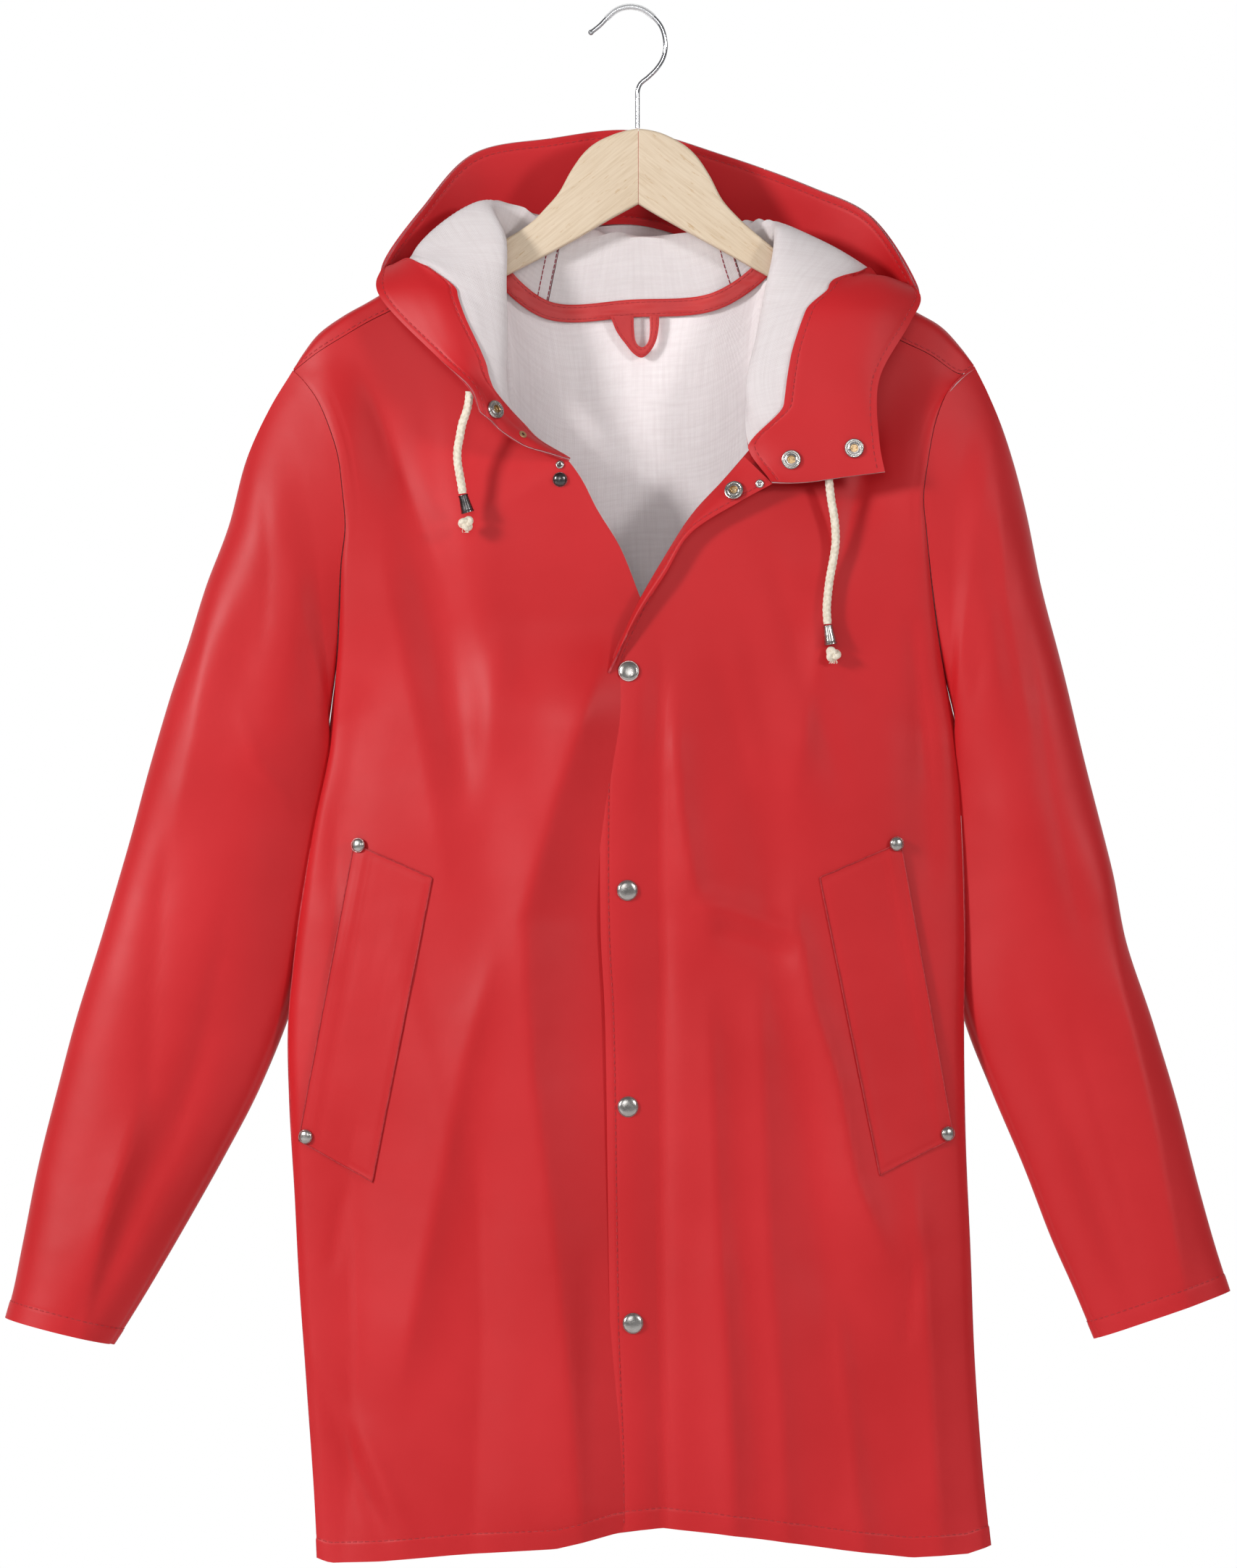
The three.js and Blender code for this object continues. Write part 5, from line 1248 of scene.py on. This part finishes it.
# Hanger
def arm(side, outline):
    """One flat half of the hanger with rounded edges, its grain along the arm."""
    free = np.array(outline, float)
    line = Spline(np.column_stack([free[:, 0], np.zeros(len(free)), free[:, 1]]))
    line = line.by_length(np.linspace(0, 1, 221))[:, [0, 2]]
    area = 0.5 * np.sum(line[:, 0] * np.roll(line[:, 1], -1) - np.roll(line[:, 0], -1) * line[:, 1])
    along = unit(np.gradient(line, axis=0))
    inward = np.stack([-along[:, 1], along[:, 0]], axis=-1) * np.sign(area)
    inward[0] = inward[-1] = 0
    inward[0, 1], inward[-1, 1] = -1, 1
    half, round_by = 6, 1.9
    rows = []
    for k in range(6):
        angle = math.pi / 2 * k / 5
        inset = round_by * (1 - math.sin(angle))
        depth = half - round_by * (1 - math.cos(angle))
        rows.append((inset, -depth))
    rows += [(inset, -depth) for inset, depth in reversed(rows)]
    points = []
    for inset, depth in rows:
        flat = line + inward * inset
        flat[0, 0] = flat[-1, 0] = line[0][0]
        points.append(np.column_stack([flat[:, 0], np.full(len(flat), depth), flat[:, 1]]))
    points = np.array(points)
    count = len(line)
    index = np.arange(points.shape[0] * count).reshape(points.shape[0], count)
    after = np.roll(index, -1, axis=1)
    faces = np.stack([index[:-1], after[:-1], after[1:], index[1:]], axis=-1).reshape(-1, 4)
    faces = faces.tolist() + [index[0][::-1].tolist(), index[-1].tolist()]
    if area > 0:
        faces = [face[::-1] for face in faces]
    flat = points.reshape(-1, 3)
    lean = math.radians(-38 if side == "left" else 38) + (math.pi if side == "left" else 0)
    run = flat[:, 0] * math.cos(lean) - flat[:, 2] * math.sin(lean)
    rise = flat[:, 0] * math.sin(lean) + flat[:, 2] * math.cos(lean)
    uvs = np.stack([run, rise + (0 if side == "left" else 300)], axis=-1) * MM
    piece = make_mesh(f"hanger_{side}", flat, faces, [WOOD], uvs=uvs, smooth_angle=35)
    stand_for(f"hanger_arm_{side}")


def make_hook():
    bend = Spline([(x, 0, z) for x, z in HOOK])
    wire = tube("hook_wire", [(bend.by_length(np.linspace(0, 1, 200)), WIRE_RADIUS, 24)],
                [CHROME], 70)
    stand_for("hook")
    angle = np.linspace(-math.pi / 2, math.pi / 2, 17)
    ball = [(2.05 * math.cos(a), 2.05 * math.sin(a)) for a in angle]
    start = np.array([HOOK[0][0], 0, HOOK[0][1]], float)
    tip = lathe("hook_ball", [turned(ball, start, (0.6, 0, -0.7), 28)], [CHROME])
    sleeve_line = bend.by_length(np.linspace(0.105, 0.375, 60))
    cover = tube("hook_cover", [(sleeve_line, 2.3, 24)], [CLEAR], 70)
    stand_for("hook_sleeve")


arm("left", ARM_LEFT)
arm("right", ARM_RIGHT)
make_hook()


# Body panels
def declare(piece, points, wrap=False, held="hung", rests=("hanger_left", "hanger_right")):
    """Works out a cloth piece's steps along its surface and across it, square to its length; nothing
    is kept.
    """
    closed = np.concatenate([points, points[:, :1]], axis=1) if wrap else points
    across = np.diff(closed, axis=1)[:-1]
    along = np.diff(closed, axis=0)[:, :-1]
    along = along / np.maximum(np.linalg.norm(along, axis=2, keepdims=True), 1e-9)
    across = across - along * (across * along).sum(axis=2, keepdims=True)
    up = np.linalg.norm(np.diff(points, axis=0), axis=2)


def cloth(name, node, points, thickness, outward, materials, relief, wrap=False, **stated):
    """A sheet that stands for a node; gives its outer face and normals."""
    piece, outer, normals = shell(name, points, thickness, outward, materials, wrap, relief)
    stand_for(node)
    declare(piece, points, wrap, **stated)
    return outer, normals


# Shares of a panel's height, a front's width and a sleeve's length, close to their stitches
NEAR_HEM = (0.001, 0.006, 0.012, 0.0135, 0.0148, 0.0156, 0.0164, 0.0177, 0.02)
NEAR_PLACKET = (0, 0.004, 0.010, 0.016, 0.021, 0.0245, 0.028, 0.034)
NEAR_CUFF = (0.003, 0.015, 0.03, 0.034, 0.037, 0.040, 0.043, 0.048)
ARMHOLE_PRESSED = 9.5
SHOULDER_PRESSED = 8.5


def front_relief(points, stitched):
    """Turned hem and placket, lines pressed beside armhole and shoulder, and faint waves."""
    x, z = points[..., 0], points[..., 2]
    relief = doubled(distance_from(points, "bottom"), HEM_STITCH)
    if stitched:
        relief = relief + doubled(distance_from(points, "right"), PLACKET_STITCH, 0.5)
    side = distance_from(points, "left")
    top = distance_from(points, "top")
    upper = smooth(-385, -365, z) * smooth(-268, -282, z)
    relief = relief + groove(side, ARMHOLE_PRESSED, 0.7, 0.5) * upper
    relief = relief + groove(top, SHOULDER_PRESSED, 0.7, 0.35) * smooth(2, 12, side)
    relief = relief + groove(side, 0.4, 0.8, 0.5)
    return relief + ripple(x, z, 3, 130) * 0.30 + ripple(x, z, 8, 48) * 0.06


def make_fronts():
    """Both fronts with turned hem and edge, and their stitches."""
    v = refined(200, [(0, NEAR_HEM)])
    across = np.union1d(np.linspace(0, 1, 64), 1 - np.array(NEAR_PLACKET))
    u = np.arccos(1 - across) * 2 / math.pi
    grid_u, grid_v = np.meshgrid(u, v)
    lines = []
    plans = (("front_under", FRONT_UNDER, 1, False), ("front_over", FRONT_OVER, -1, True))
    for name, at, outward, stitched in plans:
        points = at(grid_u, grid_v)
        relief = front_relief(points, stitched)
        outer, normals = cloth(f"{name}_cloth", name, points, CLOTH, outward, COATED, relief)
        lines.append(line_at(outer, normals, "bottom", HEM_STITCH))
        if stitched:
            line, up = line_at(outer, normals, "right", PLACKET_STITCH)
            keep = slice(2, int(len(line) * 0.80))
            lines.append((line[keep], up[keep]))
    stitches("stitches_fronts", lines, THREAD)


def make_back():
    v = refined(190, [(0, NEAR_HEM)])
    u = np.linspace(0, 1, 133)
    grid_u, grid_v = np.meshgrid(u, v)
    points = BACK(grid_u, grid_v)
    relief = doubled(distance_from(points, "bottom"), HEM_STITCH)
    relief = relief + ripple(points[..., 0], points[..., 2], 21, 140) * 0.3
    relief = relief * smooth(1, 0.97, grid_v)
    # The back's inside takes the lighter pale copy: painted light against the shade the fronts cast
    # on it.
    outer, normals = cloth("back_cloth", "back_panel", points, CLOTH, -1, COATED_BACK_PAINTED_LIGHT, relief)
    stitches("stitches_back_hem", [line_at(outer, normals, "bottom", HEM_STITCH)], THREAD)
    lines = []
    for side, ridge, shoulder, end, turn in (
            ("left", RIDGE_LEFT, SHOULDER_LEFT, NECK_LEFT, NECK_LEFT - NECK_TURN),
            ("right", RIDGE_RIGHT, SHOULDER_RIGHT, NECK_RIGHT, NECK_RIGHT + NECK_TURN)):
        strip = shoulder_strip(BACK, ridge, shoulder, end, turn, side == "left")
        share = np.linspace(0, 1, 45)
        points = strip(share, np.linspace(0, 1, 17))
        top, top_outer, top_up = shell(f"shoulder_{side}_cloth", points, CLOTH, -1, COATED)
        declare(top, points)
        lines.append(line_at(top_outer, top_up, "top", SHOULDER_STITCH))
    stitches("stitches_shoulders", lines, THREAD)


# Where the under seam runs, as a share round the sleeve
UNDER_SEAM = 0.452


def make_sleeves():
    lines = []
    v = np.union1d(np.linspace(0, 1, 150), 1 - np.array(NEAR_CUFF))
    u = np.linspace(0, 1, 97)[:-1]
    grid_u, grid_v = np.meshgrid(u, v)
    for side, at, outward in (("left", SLEEVE_LEFT_AT, -1), ("right", SLEEVE_RIGHT_AT, 1)):
        points = at(grid_u, grid_v)
        relief = doubled(distance_from(points, "top"), CUFF_STITCH)
        relief = relief + groove(grid_u, UNDER_SEAM, 0.008, 1) * smooth(0.35, 0.5, grid_v)
        relief = relief + 0.3 * ripple(points[..., 0], points[..., 2], 31, 120)
        relief = relief * smooth(0, 0.02, grid_v)
        outer, normals = cloth(f"sleeve_{side}_cloth", f"sleeve_{side}", points, CLOTH, outward,
                               COATED, relief, wrap=True)
        lines.append(line_at(outer, normals, "top", CUFF_STITCH))
    stitches("stitches_cuffs", lines, THREAD)


FRONT_UNDER = front_panel(SIDE_LEFT, ARMHOLE_LEFT, UNDER_EDGE, 0, SHOULDER_LEFT, FRONT_CREASES)
FRONT_OVER = front_panel(SIDE_RIGHT, ARMHOLE_RIGHT, OVER_EDGE, OVER_TOP, SHOULDER_RIGHT,
                         FRONT_CREASES)
BACK = back_parts()
SLEEVE_LEFT_AT = sleeve(SLEEVE_LEFT, ARMHOLE_LEFT, -1, SLEEVE_LEFT_CREASES,
                        SLEEVE_PLEATS_LEFT)
SLEEVE_RIGHT_AT = sleeve(SLEEVE_RIGHT, ARMHOLE_RIGHT, 1, SLEEVE_RIGHT_CREASES,
                         SLEEVE_PLEATS_RIGHT)
LAPEL = lapel_parts()
make_fronts()
make_back()
make_sleeves()


# Hood
HOOD_SPLIT = 0.006
HOOD_CUTS = (("hood_side_left", 0, MIDDLE_FROM - HOOD_SPLIT, 150),
             ("hood_middle", MIDDLE_FROM + HOOD_SPLIT, MIDDLE_TO - HOOD_SPLIT, 56),
             ("hood_side_right", MIDDLE_TO + HOOD_SPLIT, HOOD_LAST, 150))
# Rows of thread beside the hood's inner seams: edge of the piece, how far in
HOOD_SEAM_ROWS = {
    "hood_side_left": (("right", 0.6), ("right", 8)),
    "hood_middle": (("right", 0.6), ("right", 9)),
}
FACING_STITCH = 5.5


def hood_inside(s, reach, lift):
    """Points above the hood's pale side."""
    s, reach = np.broadcast_arrays(np.asarray(s, float), np.asarray(reach, float))
    points = hood_by_reach(s, reach)
    step = 0.02
    ds = hood_by_reach(np.minimum(s + step, HOOD_LAST), reach)
    ds = ds - hood_by_reach(np.maximum(s - step, 0), reach)
    dt = hood_by_reach(s, reach + 0.6) - hood_by_reach(s, np.maximum(reach - 0.6, 0))
    normal = unit(np.cross(ds, dt))
    return points + normal * (CLOTH + lift), normal


def make_hood():
    rim_lines, seam_lines = [], []
    shares = refined(110, [(1, (-0.001, -0.012, -0.022, -0.030, -0.037, -0.045))])
    for name, start, end, count in HOOD_CUTS:
        s = np.linspace(start, end, count)
        total = hood_length(s)
        reach = 0.8 + (total - 0.8)[None] * shares[:, None]
        points = hood_by_reach(np.broadcast_to(s, reach.shape), reach)
        relief = doubled(distance_from(points, "top"), RIM_STITCH, 0.4)
        relief = relief + 0.25 * ripple(points[..., 0], points[..., 2], 41, 90)
        relief = relief * smooth(0, 0.05, shares)[:, None]
        outer, normals = cloth(f"{name}_cloth", name, points, CLOTH, -1, COATED, relief)
        rim_lines.append(line_at(outer, normals, "top", RIM_STITCH))
        inner = points - normals * (CLOTH + 0.05)
        for edge, width in HOOD_SEAM_ROWS.get(name, ()):
            line, up = line_at(inner, -normals, edge, width)
            keep = slice(0, int(len(line) * 0.72))
            seam_lines.append((line[keep], up[keep]))
    stitches("stitches_hood_rim", rim_lines, THREAD)
    stitches("stitches_hood_seams", seam_lines, THREAD_DARK, 3.4, 0.5, 0.42)


def facing_width(s):
    total = hood_length(s)
    places = [row[0] for row in FACING_EDGE]
    widths = [row[1] for row in FACING_EDGE]
    width = np.mean([np.interp(s + d, places, widths) for d in np.linspace(-0.25, 0.25, 9)],
                    axis=0)
    full = np.maximum(smooth(1.6, 1.25, s), smooth(16.35, 17, s))
    return np.minimum(mix(width, total - 0.5, full), total - 0.5)


def make_facing():
    """Coated strip inside the rim, red side showing, with its own row of stitches."""
    s = np.linspace(0.01, HOOD_LAST - 0.01, 420)
    total = hood_length(s)
    width = facing_width(s)
    share = refined(44, [(0, (0.004, 0.02, 0.05, 0.09))])
    reach = (total - width)[None] + width[None] * share[:, None]
    points, normals = hood_inside(np.broadcast_to(s, reach.shape), reach, FACING_GAP)
    relief = groove(distance_from(points, "bottom"), FACING_STITCH, 0.9, 0.5)
    relief = relief + groove(distance_from(points, "top"), RIM_STITCH, 0.9, 0.4)
    relief = relief + 0.12 * ripple(points[..., 0], points[..., 2], 52, 60)
    lifted = points + normals * FACING
    piece, outer, up = shell("hood_facing_cloth", lifted, FACING, 1, (RED, RED, EDGE),
                             relief=relief)
    stand_for("hood_facing")
    declare(piece, points)
    stitches("stitches_facing", [line_at(outer, up, "bottom", FACING_STITCH),
                                 line_at(outer, up, "top", RIM_STITCH)], THREAD)


def make_tape():
    """Tape over the back neck seam, rolled a little at its edges."""
    s = np.linspace(NECK_LEFT + 1.15, NECK_RIGHT - 1.15, 150)
    seam = neck_seam(s)
    along = unit(neck_seam(s + 0.02) - neck_seam(s - 0.02))
    across = np.linspace(-1, 1, 19) * TAPE_HALF
    points = np.empty((len(across), len(s), 3))
    for k, reach in enumerate(across):
        points[k] = seam
        points[k, :, 0] -= along[:, 2] * reach
        points[k, :, 2] += along[:, 0] * reach
        points[k, :, 1] -= CLOTH + TAPE_CLEAR + FACING + abs(reach) * TAPE_ROLL
    edge = np.minimum(distance_from(points, "top"), distance_from(points, "bottom"))
    relief = groove(edge, 0, 0.9, 0.7) + groove(edge, TAPE_STITCH, 0.6, 0.25)
    relief = relief + 0.35 * ripple(points[..., 0], points[..., 2] * 3, 61, 34)
    outer, up = cloth("neck_tape_cloth", "neck_tape", points, FACING, 1, (TAPE, TAPE, EDGE), relief,
                      held="stretched")
    stitches("stitches_tape", [line_at(outer, up, "bottom", TAPE_STITCH),
                               line_at(outer, up, "top", TAPE_STITCH)], THREAD, 2.6, 1.2, 0.3)


def make_loop():
    """Hanging loop: a folded strap from the tape down round its hole and up again."""
    outer_line = Spline([(x, 0, z) for x, z in LOOP_OUTER]).by_length(np.linspace(0, 1, 90))
    hole_line = Spline([(x, 0, z) for x, z in LOOP_HOLE]).by_length(np.linspace(0, 1, 90))
    across = np.linspace(0, 1, 13)[:, None, None]
    points = mix(outer_line[None], hole_line[None], across)
    points[..., 1] = LOOP_DEEP - LOOP_LEAN * (points[..., 2] - LOOP_TOP)
    edge = np.minimum(distance_from(points, "top"), distance_from(points, "bottom"))
    relief = groove(edge, 0, 0.8, 0.5) + groove(edge, LOOP_STITCH, 0.5, 0.2)
    outer, up = cloth("hanging_loop_cloth", "hanging_loop", points, LOOP_CLOTH, -1,
                      (TAPE, TAPE, EDGE), relief)
    stitches("stitches_loop", [line_at(outer, up, "bottom", LOOP_STITCH),
                               line_at(outer, up, "top", LOOP_STITCH)], THREAD, 2.2, 1.0, 0.25)


def make_lapel():
    u = np.linspace(0, 1, 28)
    v = np.linspace(0, 1, 90)
    grid_u, grid_v = np.meshgrid(u, v)
    points = LAPEL(grid_u, grid_v)
    relief = doubled(distance_from(points, "right"), LAPEL_STITCH, 0.3, 0.3)
    relief = relief * smooth(0.25, 0.5, grid_v)
    outer, up = cloth("lapel_cloth", "front_lapel", points, CLOTH, 1, COATED, relief)
    line, normal = line_at(outer, up, "right", LAPEL_STITCH)
    stitches("stitches_lapel", [(line[35:], normal[35:])], THREAD)


make_hood()
make_facing()
make_tape()
make_loop()
make_lapel()


# Pockets and fittings
def solve(at, x, z):
    """Where a surface lies at x and z: its place and the normal towards the viewer."""
    share = np.linspace(0.02, 0.98, 41)
    u, v = np.meshgrid(share, share)
    found = at(u, v)
    miss = np.hypot(found[..., 0] - x, found[..., 2] - z)
    best = np.unravel_index(np.argmin(miss), miss.shape)
    place = np.array([u[best], v[best]])
    step = 1e-3
    for _ in range(12):
        a, b = place
        p = at(np.array([a]), np.array([b]))[0]
        du = (at(np.array([a + step]), np.array([b]))[0] - at(np.array([a - step]), np.array([b]))[0])
        dv = (at(np.array([a]), np.array([b + step]))[0] - at(np.array([a]), np.array([b - step]))[0])
        square = np.array([[du[0], dv[0]], [du[2], dv[2]]]) / (2 * step)
        if abs(np.linalg.det(square)) < 1e-6:
            break
        place = np.clip(place + np.linalg.solve(square, [x - p[0], z - p[2]]), 0.002, 0.998)
    normal = unit(np.cross(du, dv))
    return p, -normal if normal[1] > 0 else normal


def hood_patch(start, end):
    def at(u, v):
        s = np.clip(mix(start, end, np.asarray(u, float)), 0, HOOD_LAST)
        return hood_at(s, np.clip(mix(0.2, 1, np.asarray(v, float)), 0, 1))
    return at


FACED = CLOTH + FACING_GAP + FACING + 0.1
SHEETS = {
    "left": (hood_patch(0, 2.5), FACED),
    "right": (hood_patch(15.5, 18), FACED),
    "lapel": (LAPEL, 0.35),
    "under": (FRONT_UNDER, 0.3),
    "over": (FRONT_OVER, 0.3),
}


def pocket_ground(corners, at, grid_u, grid_v):
    """Points of the front under a welt, their depths read between a coarse net of solved ones."""
    a, b, c, d = (np.array(corner, float) for corner in corners)

    def flat(u, v):
        return mix(mix(a, b, u[..., None]), mix(d, c, u[..., None]), v[..., None])

    columns, rows = 6, 12
    coarse = flat(*np.meshgrid(np.linspace(0, 1, columns + 1), np.linspace(0, 1, rows + 1)))
    depths = np.empty(coarse.shape[:2])
    for index in np.ndindex(depths.shape):
        depths[index] = solve(at, *coarse[index])[0][1]
    row = grid_v * rows
    column = grid_u * columns
    i, j = np.minimum(row.astype(int), rows - 1), np.minimum(column.astype(int), columns - 1)
    p, q = row - i, column - j
    deep = (depths[i, j] * (1 - p) * (1 - q) + depths[i + 1, j] * p * (1 - q)
            + depths[i, j + 1] * (1 - p) * q + depths[i + 1, j + 1] * p * q)
    place = flat(grid_u, grid_v)
    return np.stack([place[..., 0], deep, place[..., 1]], axis=-1)


def make_pocket(side, corners, at, outward):
    """A welt on the front: its cut ends a little frayed, a pressed line beside the opening, and a
    dark tube round its edges that is partly its cut edge and partly painted shade.
    """
    u = refined(34, [(0, (0.004, 0.012))])
    v = refined(96, [(0, (0.003, 0.008)), (1, (-0.003, -0.008))])
    grid_u, grid_v = np.meshgrid(u, v)
    points = pocket_ground(corners, at, grid_u, grid_v)
    opening = distance_from(points, "left")
    closed = np.minimum(distance_from(points, "right"), distance_from(points, "bottom"))
    closed = np.minimum(closed, distance_from(points, "top"))
    lift = POCKET_FLAT + 0.5 * smooth(0, 6, closed) + 0.6 * smooth(16, 10, opening)
    middle = np.sin(math.pi * grid_v) ** 0.7
    lift = lift + 1.0 * middle * np.exp(-((opening / 8) ** 2))
    points[..., 1] -= lift
    points[..., 2] += 0.35 * ripple(points[..., 0] * 4, points[..., 2], 71, 30) * (closed < 0.1)
    relief = groove(opening, *OPENING_LINES[0]) + groove(closed, *CLOSED_LINE)
    relief = np.maximum(relief + groove(opening, *OPENING_LINES[1]), -POCKET_SUNK)
    relief = relief + 0.12 * ripple(points[..., 0], points[..., 2], 72, 40)
    ground = "front_under_cloth" if side == "left" else "front_over_cloth"
    cloth(f"pocket_{side}_cloth", f"pocket_{side}", points, POCKET_CLOTH, outward, COATED, relief,
          rests=(ground,))
    # A dark tube round the welt's edges: its cut edge, darkened as painted shade for the shadow line
    # under the edges.
    edge = np.concatenate([points[0], points[1:, -1], points[-1, -2::-1], points[-2::-1, 0]])
    edge = edge[::2] - np.array([0, 0.15, 0])
    rim = tube(f"pocket_{side}_rim", [(edge, 0.5, 6)], [THREAD], 60)


def dome(name, node, radius, height, seat, normal, look):
    """A pressed cap: a thin lip, a soft shoulder and a shallow crown."""
    profile = [(radius * 0.9, 0), (radius, 0.15), (radius, 0.5), (radius * 0.965, 0.75)]
    for k in range(13):
        angle = math.pi / 2 * k / 12
        profile.append((radius * 0.93 * math.cos(angle),
                        0.75 + (height - 0.75) * math.sin(angle)))
    piece = lathe(name, [turned(profile, seat, normal, 48)], [look])
    stand_for(node)


def socket(name, node, seat, normal):
    """A snap socket: an outer ring with punched dots, a groove and a sprung brass middle."""
    profile = [(6.4, 0), (6.9, 0.25), (6.95, 1.2), (6.6, 1.9), (5.9, 2.15), (5.3, 1.95),
               (4.6, 1.75), (4.0, 2.0), (3.5, 2.35), (3.0, 2.3), (2.7, 1.7), (2.6, 0.7),
               (0.001, 0.6)]
    parts = [turned(profile, seat, normal, 48, [0] * 9 + [1] * 3)]
    side = unit(np.cross(normal, [0.31, 0.2, 0.93]))
    other = np.cross(normal, side)
    dot = [(0.42, 1.7), (0.42, 2.15), (0.25, 2.35), (0.001, 2.4)]
    for k in range(16):
        angle = 2 * math.pi * k / 16
        place = seat + (side * math.cos(angle) + other * math.sin(angle)) * 5.35
        parts.append(turned(dot, place, normal, 8))
    spring = [(0.7, 0.6), (0.6, 1.3), (0.3, 1.5), (0.001, 1.5)]
    for k in range(2):
        angle = 0.5 + math.pi * k
        place = seat + (side * math.cos(angle) + other * math.sin(angle)) * 1.5
        parts.append(turned(spring, place, normal, 10, [1] * 3))
    piece = lathe(name, parts, [NICKEL, BRASS])
    stand_for(node)


def ring(name, node, radius, hole, height, seat, normal, look):
    profile = [(radius * 0.96, 0), (radius, height * 0.5), (radius * 0.93, height * 0.85),
               (radius * 0.8, height), (hole * 1.35, height), (hole * 1.1, height * 0.8),
               (hole, height * 0.35), (hole * 0.95, 0.05), (0.001, 0.05)]
    # The lower part of the hole's wall and a disk closing the hole take the dark gunmetal: painted
    # shade inside the hole.
    parts = [turned(profile, seat, normal, 32, [0] * 6 + [1] * 2)]
    piece = lathe(name, parts, [look, GUNMETAL])
    stand_for(node)


def make_fittings():
    for number, (sheet, x, z) in enumerate(RIVETS, 1):
        at, _ = SHEETS[sheet]
        seat, normal = solve(at, x, z)
        seat = seat + normal * (POCKET_FLAT + RIVET_LIFT)
        dome(f"rivet_{number}", f"pocket_rivet_{number}", 5.2, 2.9, seat, normal, NICKEL)
    for number, (x, z) in enumerate(CAPS, 1):
        seat, normal = solve(FRONT_OVER, x, z)
        seat = seat + normal * CAP_LIFT
        dome(f"cap_{number}", f"snap_cap_{number}", 7.4, 2.5, seat, normal, NICKEL)
    for number, (sheet, x, z) in enumerate(SOCKETS, 1):
        at, lift = SHEETS[sheet]
        seat, normal = solve(at, x, z)
        socket(f"socket_{number}", f"snap_socket_{number}", seat + normal * lift, normal)
    at, lift = SHEETS[STUD[0]]
    seat, normal = solve(at, STUD[1], STUD[2])
    dome("stud", "snap_stud", 5.2, 3.2, seat + normal * lift, normal, GUNMETAL)
    for number, (sheet, x, z) in enumerate(EYELETS, 1):
        at, lift = SHEETS[sheet]
        seat, normal = solve(at, x, z)
        ring(f"small_eyelet_{number}", f"eyelet_{number}", 3, 1.2, 0.9,
             seat + normal * lift, normal, NICKEL if number != 2 else BRASS)
    for side, x, z in CORD_EYELETS:
        at, _ = SHEETS[side]
        seat, normal = solve(at, x, z)
        ring(f"cord_ring_{side}", f"cord_eyelet_{side}", 4.5, 2.4, 0.8,
             seat - normal * RING_LIFT, -normal, NICKEL)


make_pocket("left", POCKET_LEFT, FRONT_UNDER, -1)
make_pocket("right", POCKET_RIGHT, FRONT_OVER, 1)
make_fittings()


# Stage
def make_world():
    """White cloth behind the coat and a dimmer room in front of it."""
    world = bpy.data.worlds.new("studio")
    world.use_nodes = True
    tree = world.node_tree
    split = add(tree, "ShaderNodeSeparateXYZ")
    place = add(tree, "ShaderNodeTexCoord").outputs["Generated"]
    tree.links.new(place, split.inputs[0])
    side = ramp(tree, split.outputs["Y"], [(0.30, (0.24,) * 3), (0.85, (1.0,) * 3)])
    tree.links.new(side, tree.nodes["Background"].inputs["Color"])
    bpy.context.scene.world = world


def disk_light(name, size):
    data = bpy.data.lights.new(name, "AREA")
    data.shape = "DISK"
    data.size = size
    return data


def narrow_light(name, size):
    """A soft spot six degrees wide, for the inside of the neck."""
    data = bpy.data.lights.new(name, "SPOT")
    data.spot_size = math.radians(6)
    data.spot_blend = 1
    data.shadow_soft_size = size
    return data


# Name, kind, place, goal, size and power
LIGHTS = (
    ("left", disk_light, (-2.9, -2.3, 0.6), (0, 0, -0.6), 0.7, 96),
    ("right", disk_light, (2.5, -2.5, 0.5), (0, 0, -0.6), 0.6, 36),
    ("front", disk_light, (-0.3, -3.4, 0.2), (0, 0, -0.6), 1.2, 13),
    ("neck", narrow_light, (0.05, -3.0, 0.0), (-0.005, 0, -0.21), 0.25, 110),
)
FLOOR_LEVEL = -1.5
FLOOR_REACH = 2.4


def make_lights():
    for name, kind, place, goal, size, power in LIGHTS:
        data = kind(name, size)
        data.energy = power
        light = bpy.data.objects.new(name, data)
        light.location = place
        away = np.array(goal, float) - np.array(place, float)
        yaw = math.atan2(away[0], away[1])
        pitch = math.atan2(away[2], math.hypot(away[0], away[1]))
        light.rotation_euler = (math.pi / 2 + pitch, 0, -yaw)
        bpy.context.scene.collection.objects.link(light)


def make_floor():
    """A pale floor well under the hem."""
    mesh = bpy.data.meshes.new("floor")
    corners = [(x * FLOOR_REACH, y * FLOOR_REACH, FLOOR_LEVEL)
               for x, y in ((-1, -1), (1, -1), (1, 1), (-1, 1))]
    mesh.from_pydata(corners, [], [(0, 1, 2, 3)])
    material, _, shader = new_material("floor_pale")
    shader.inputs["Base Color"].default_value = (0.9, 0.9, 0.9, 1)
    shader.inputs["Roughness"].default_value = 0.9
    mesh.materials.append(material)
    floor = bpy.data.objects.new("floor", mesh)
    bpy.context.scene.collection.objects.link(floor)


make_world()
make_lights()
make_floor()
bpy.context.scene.view_settings.view_transform = "Standard"
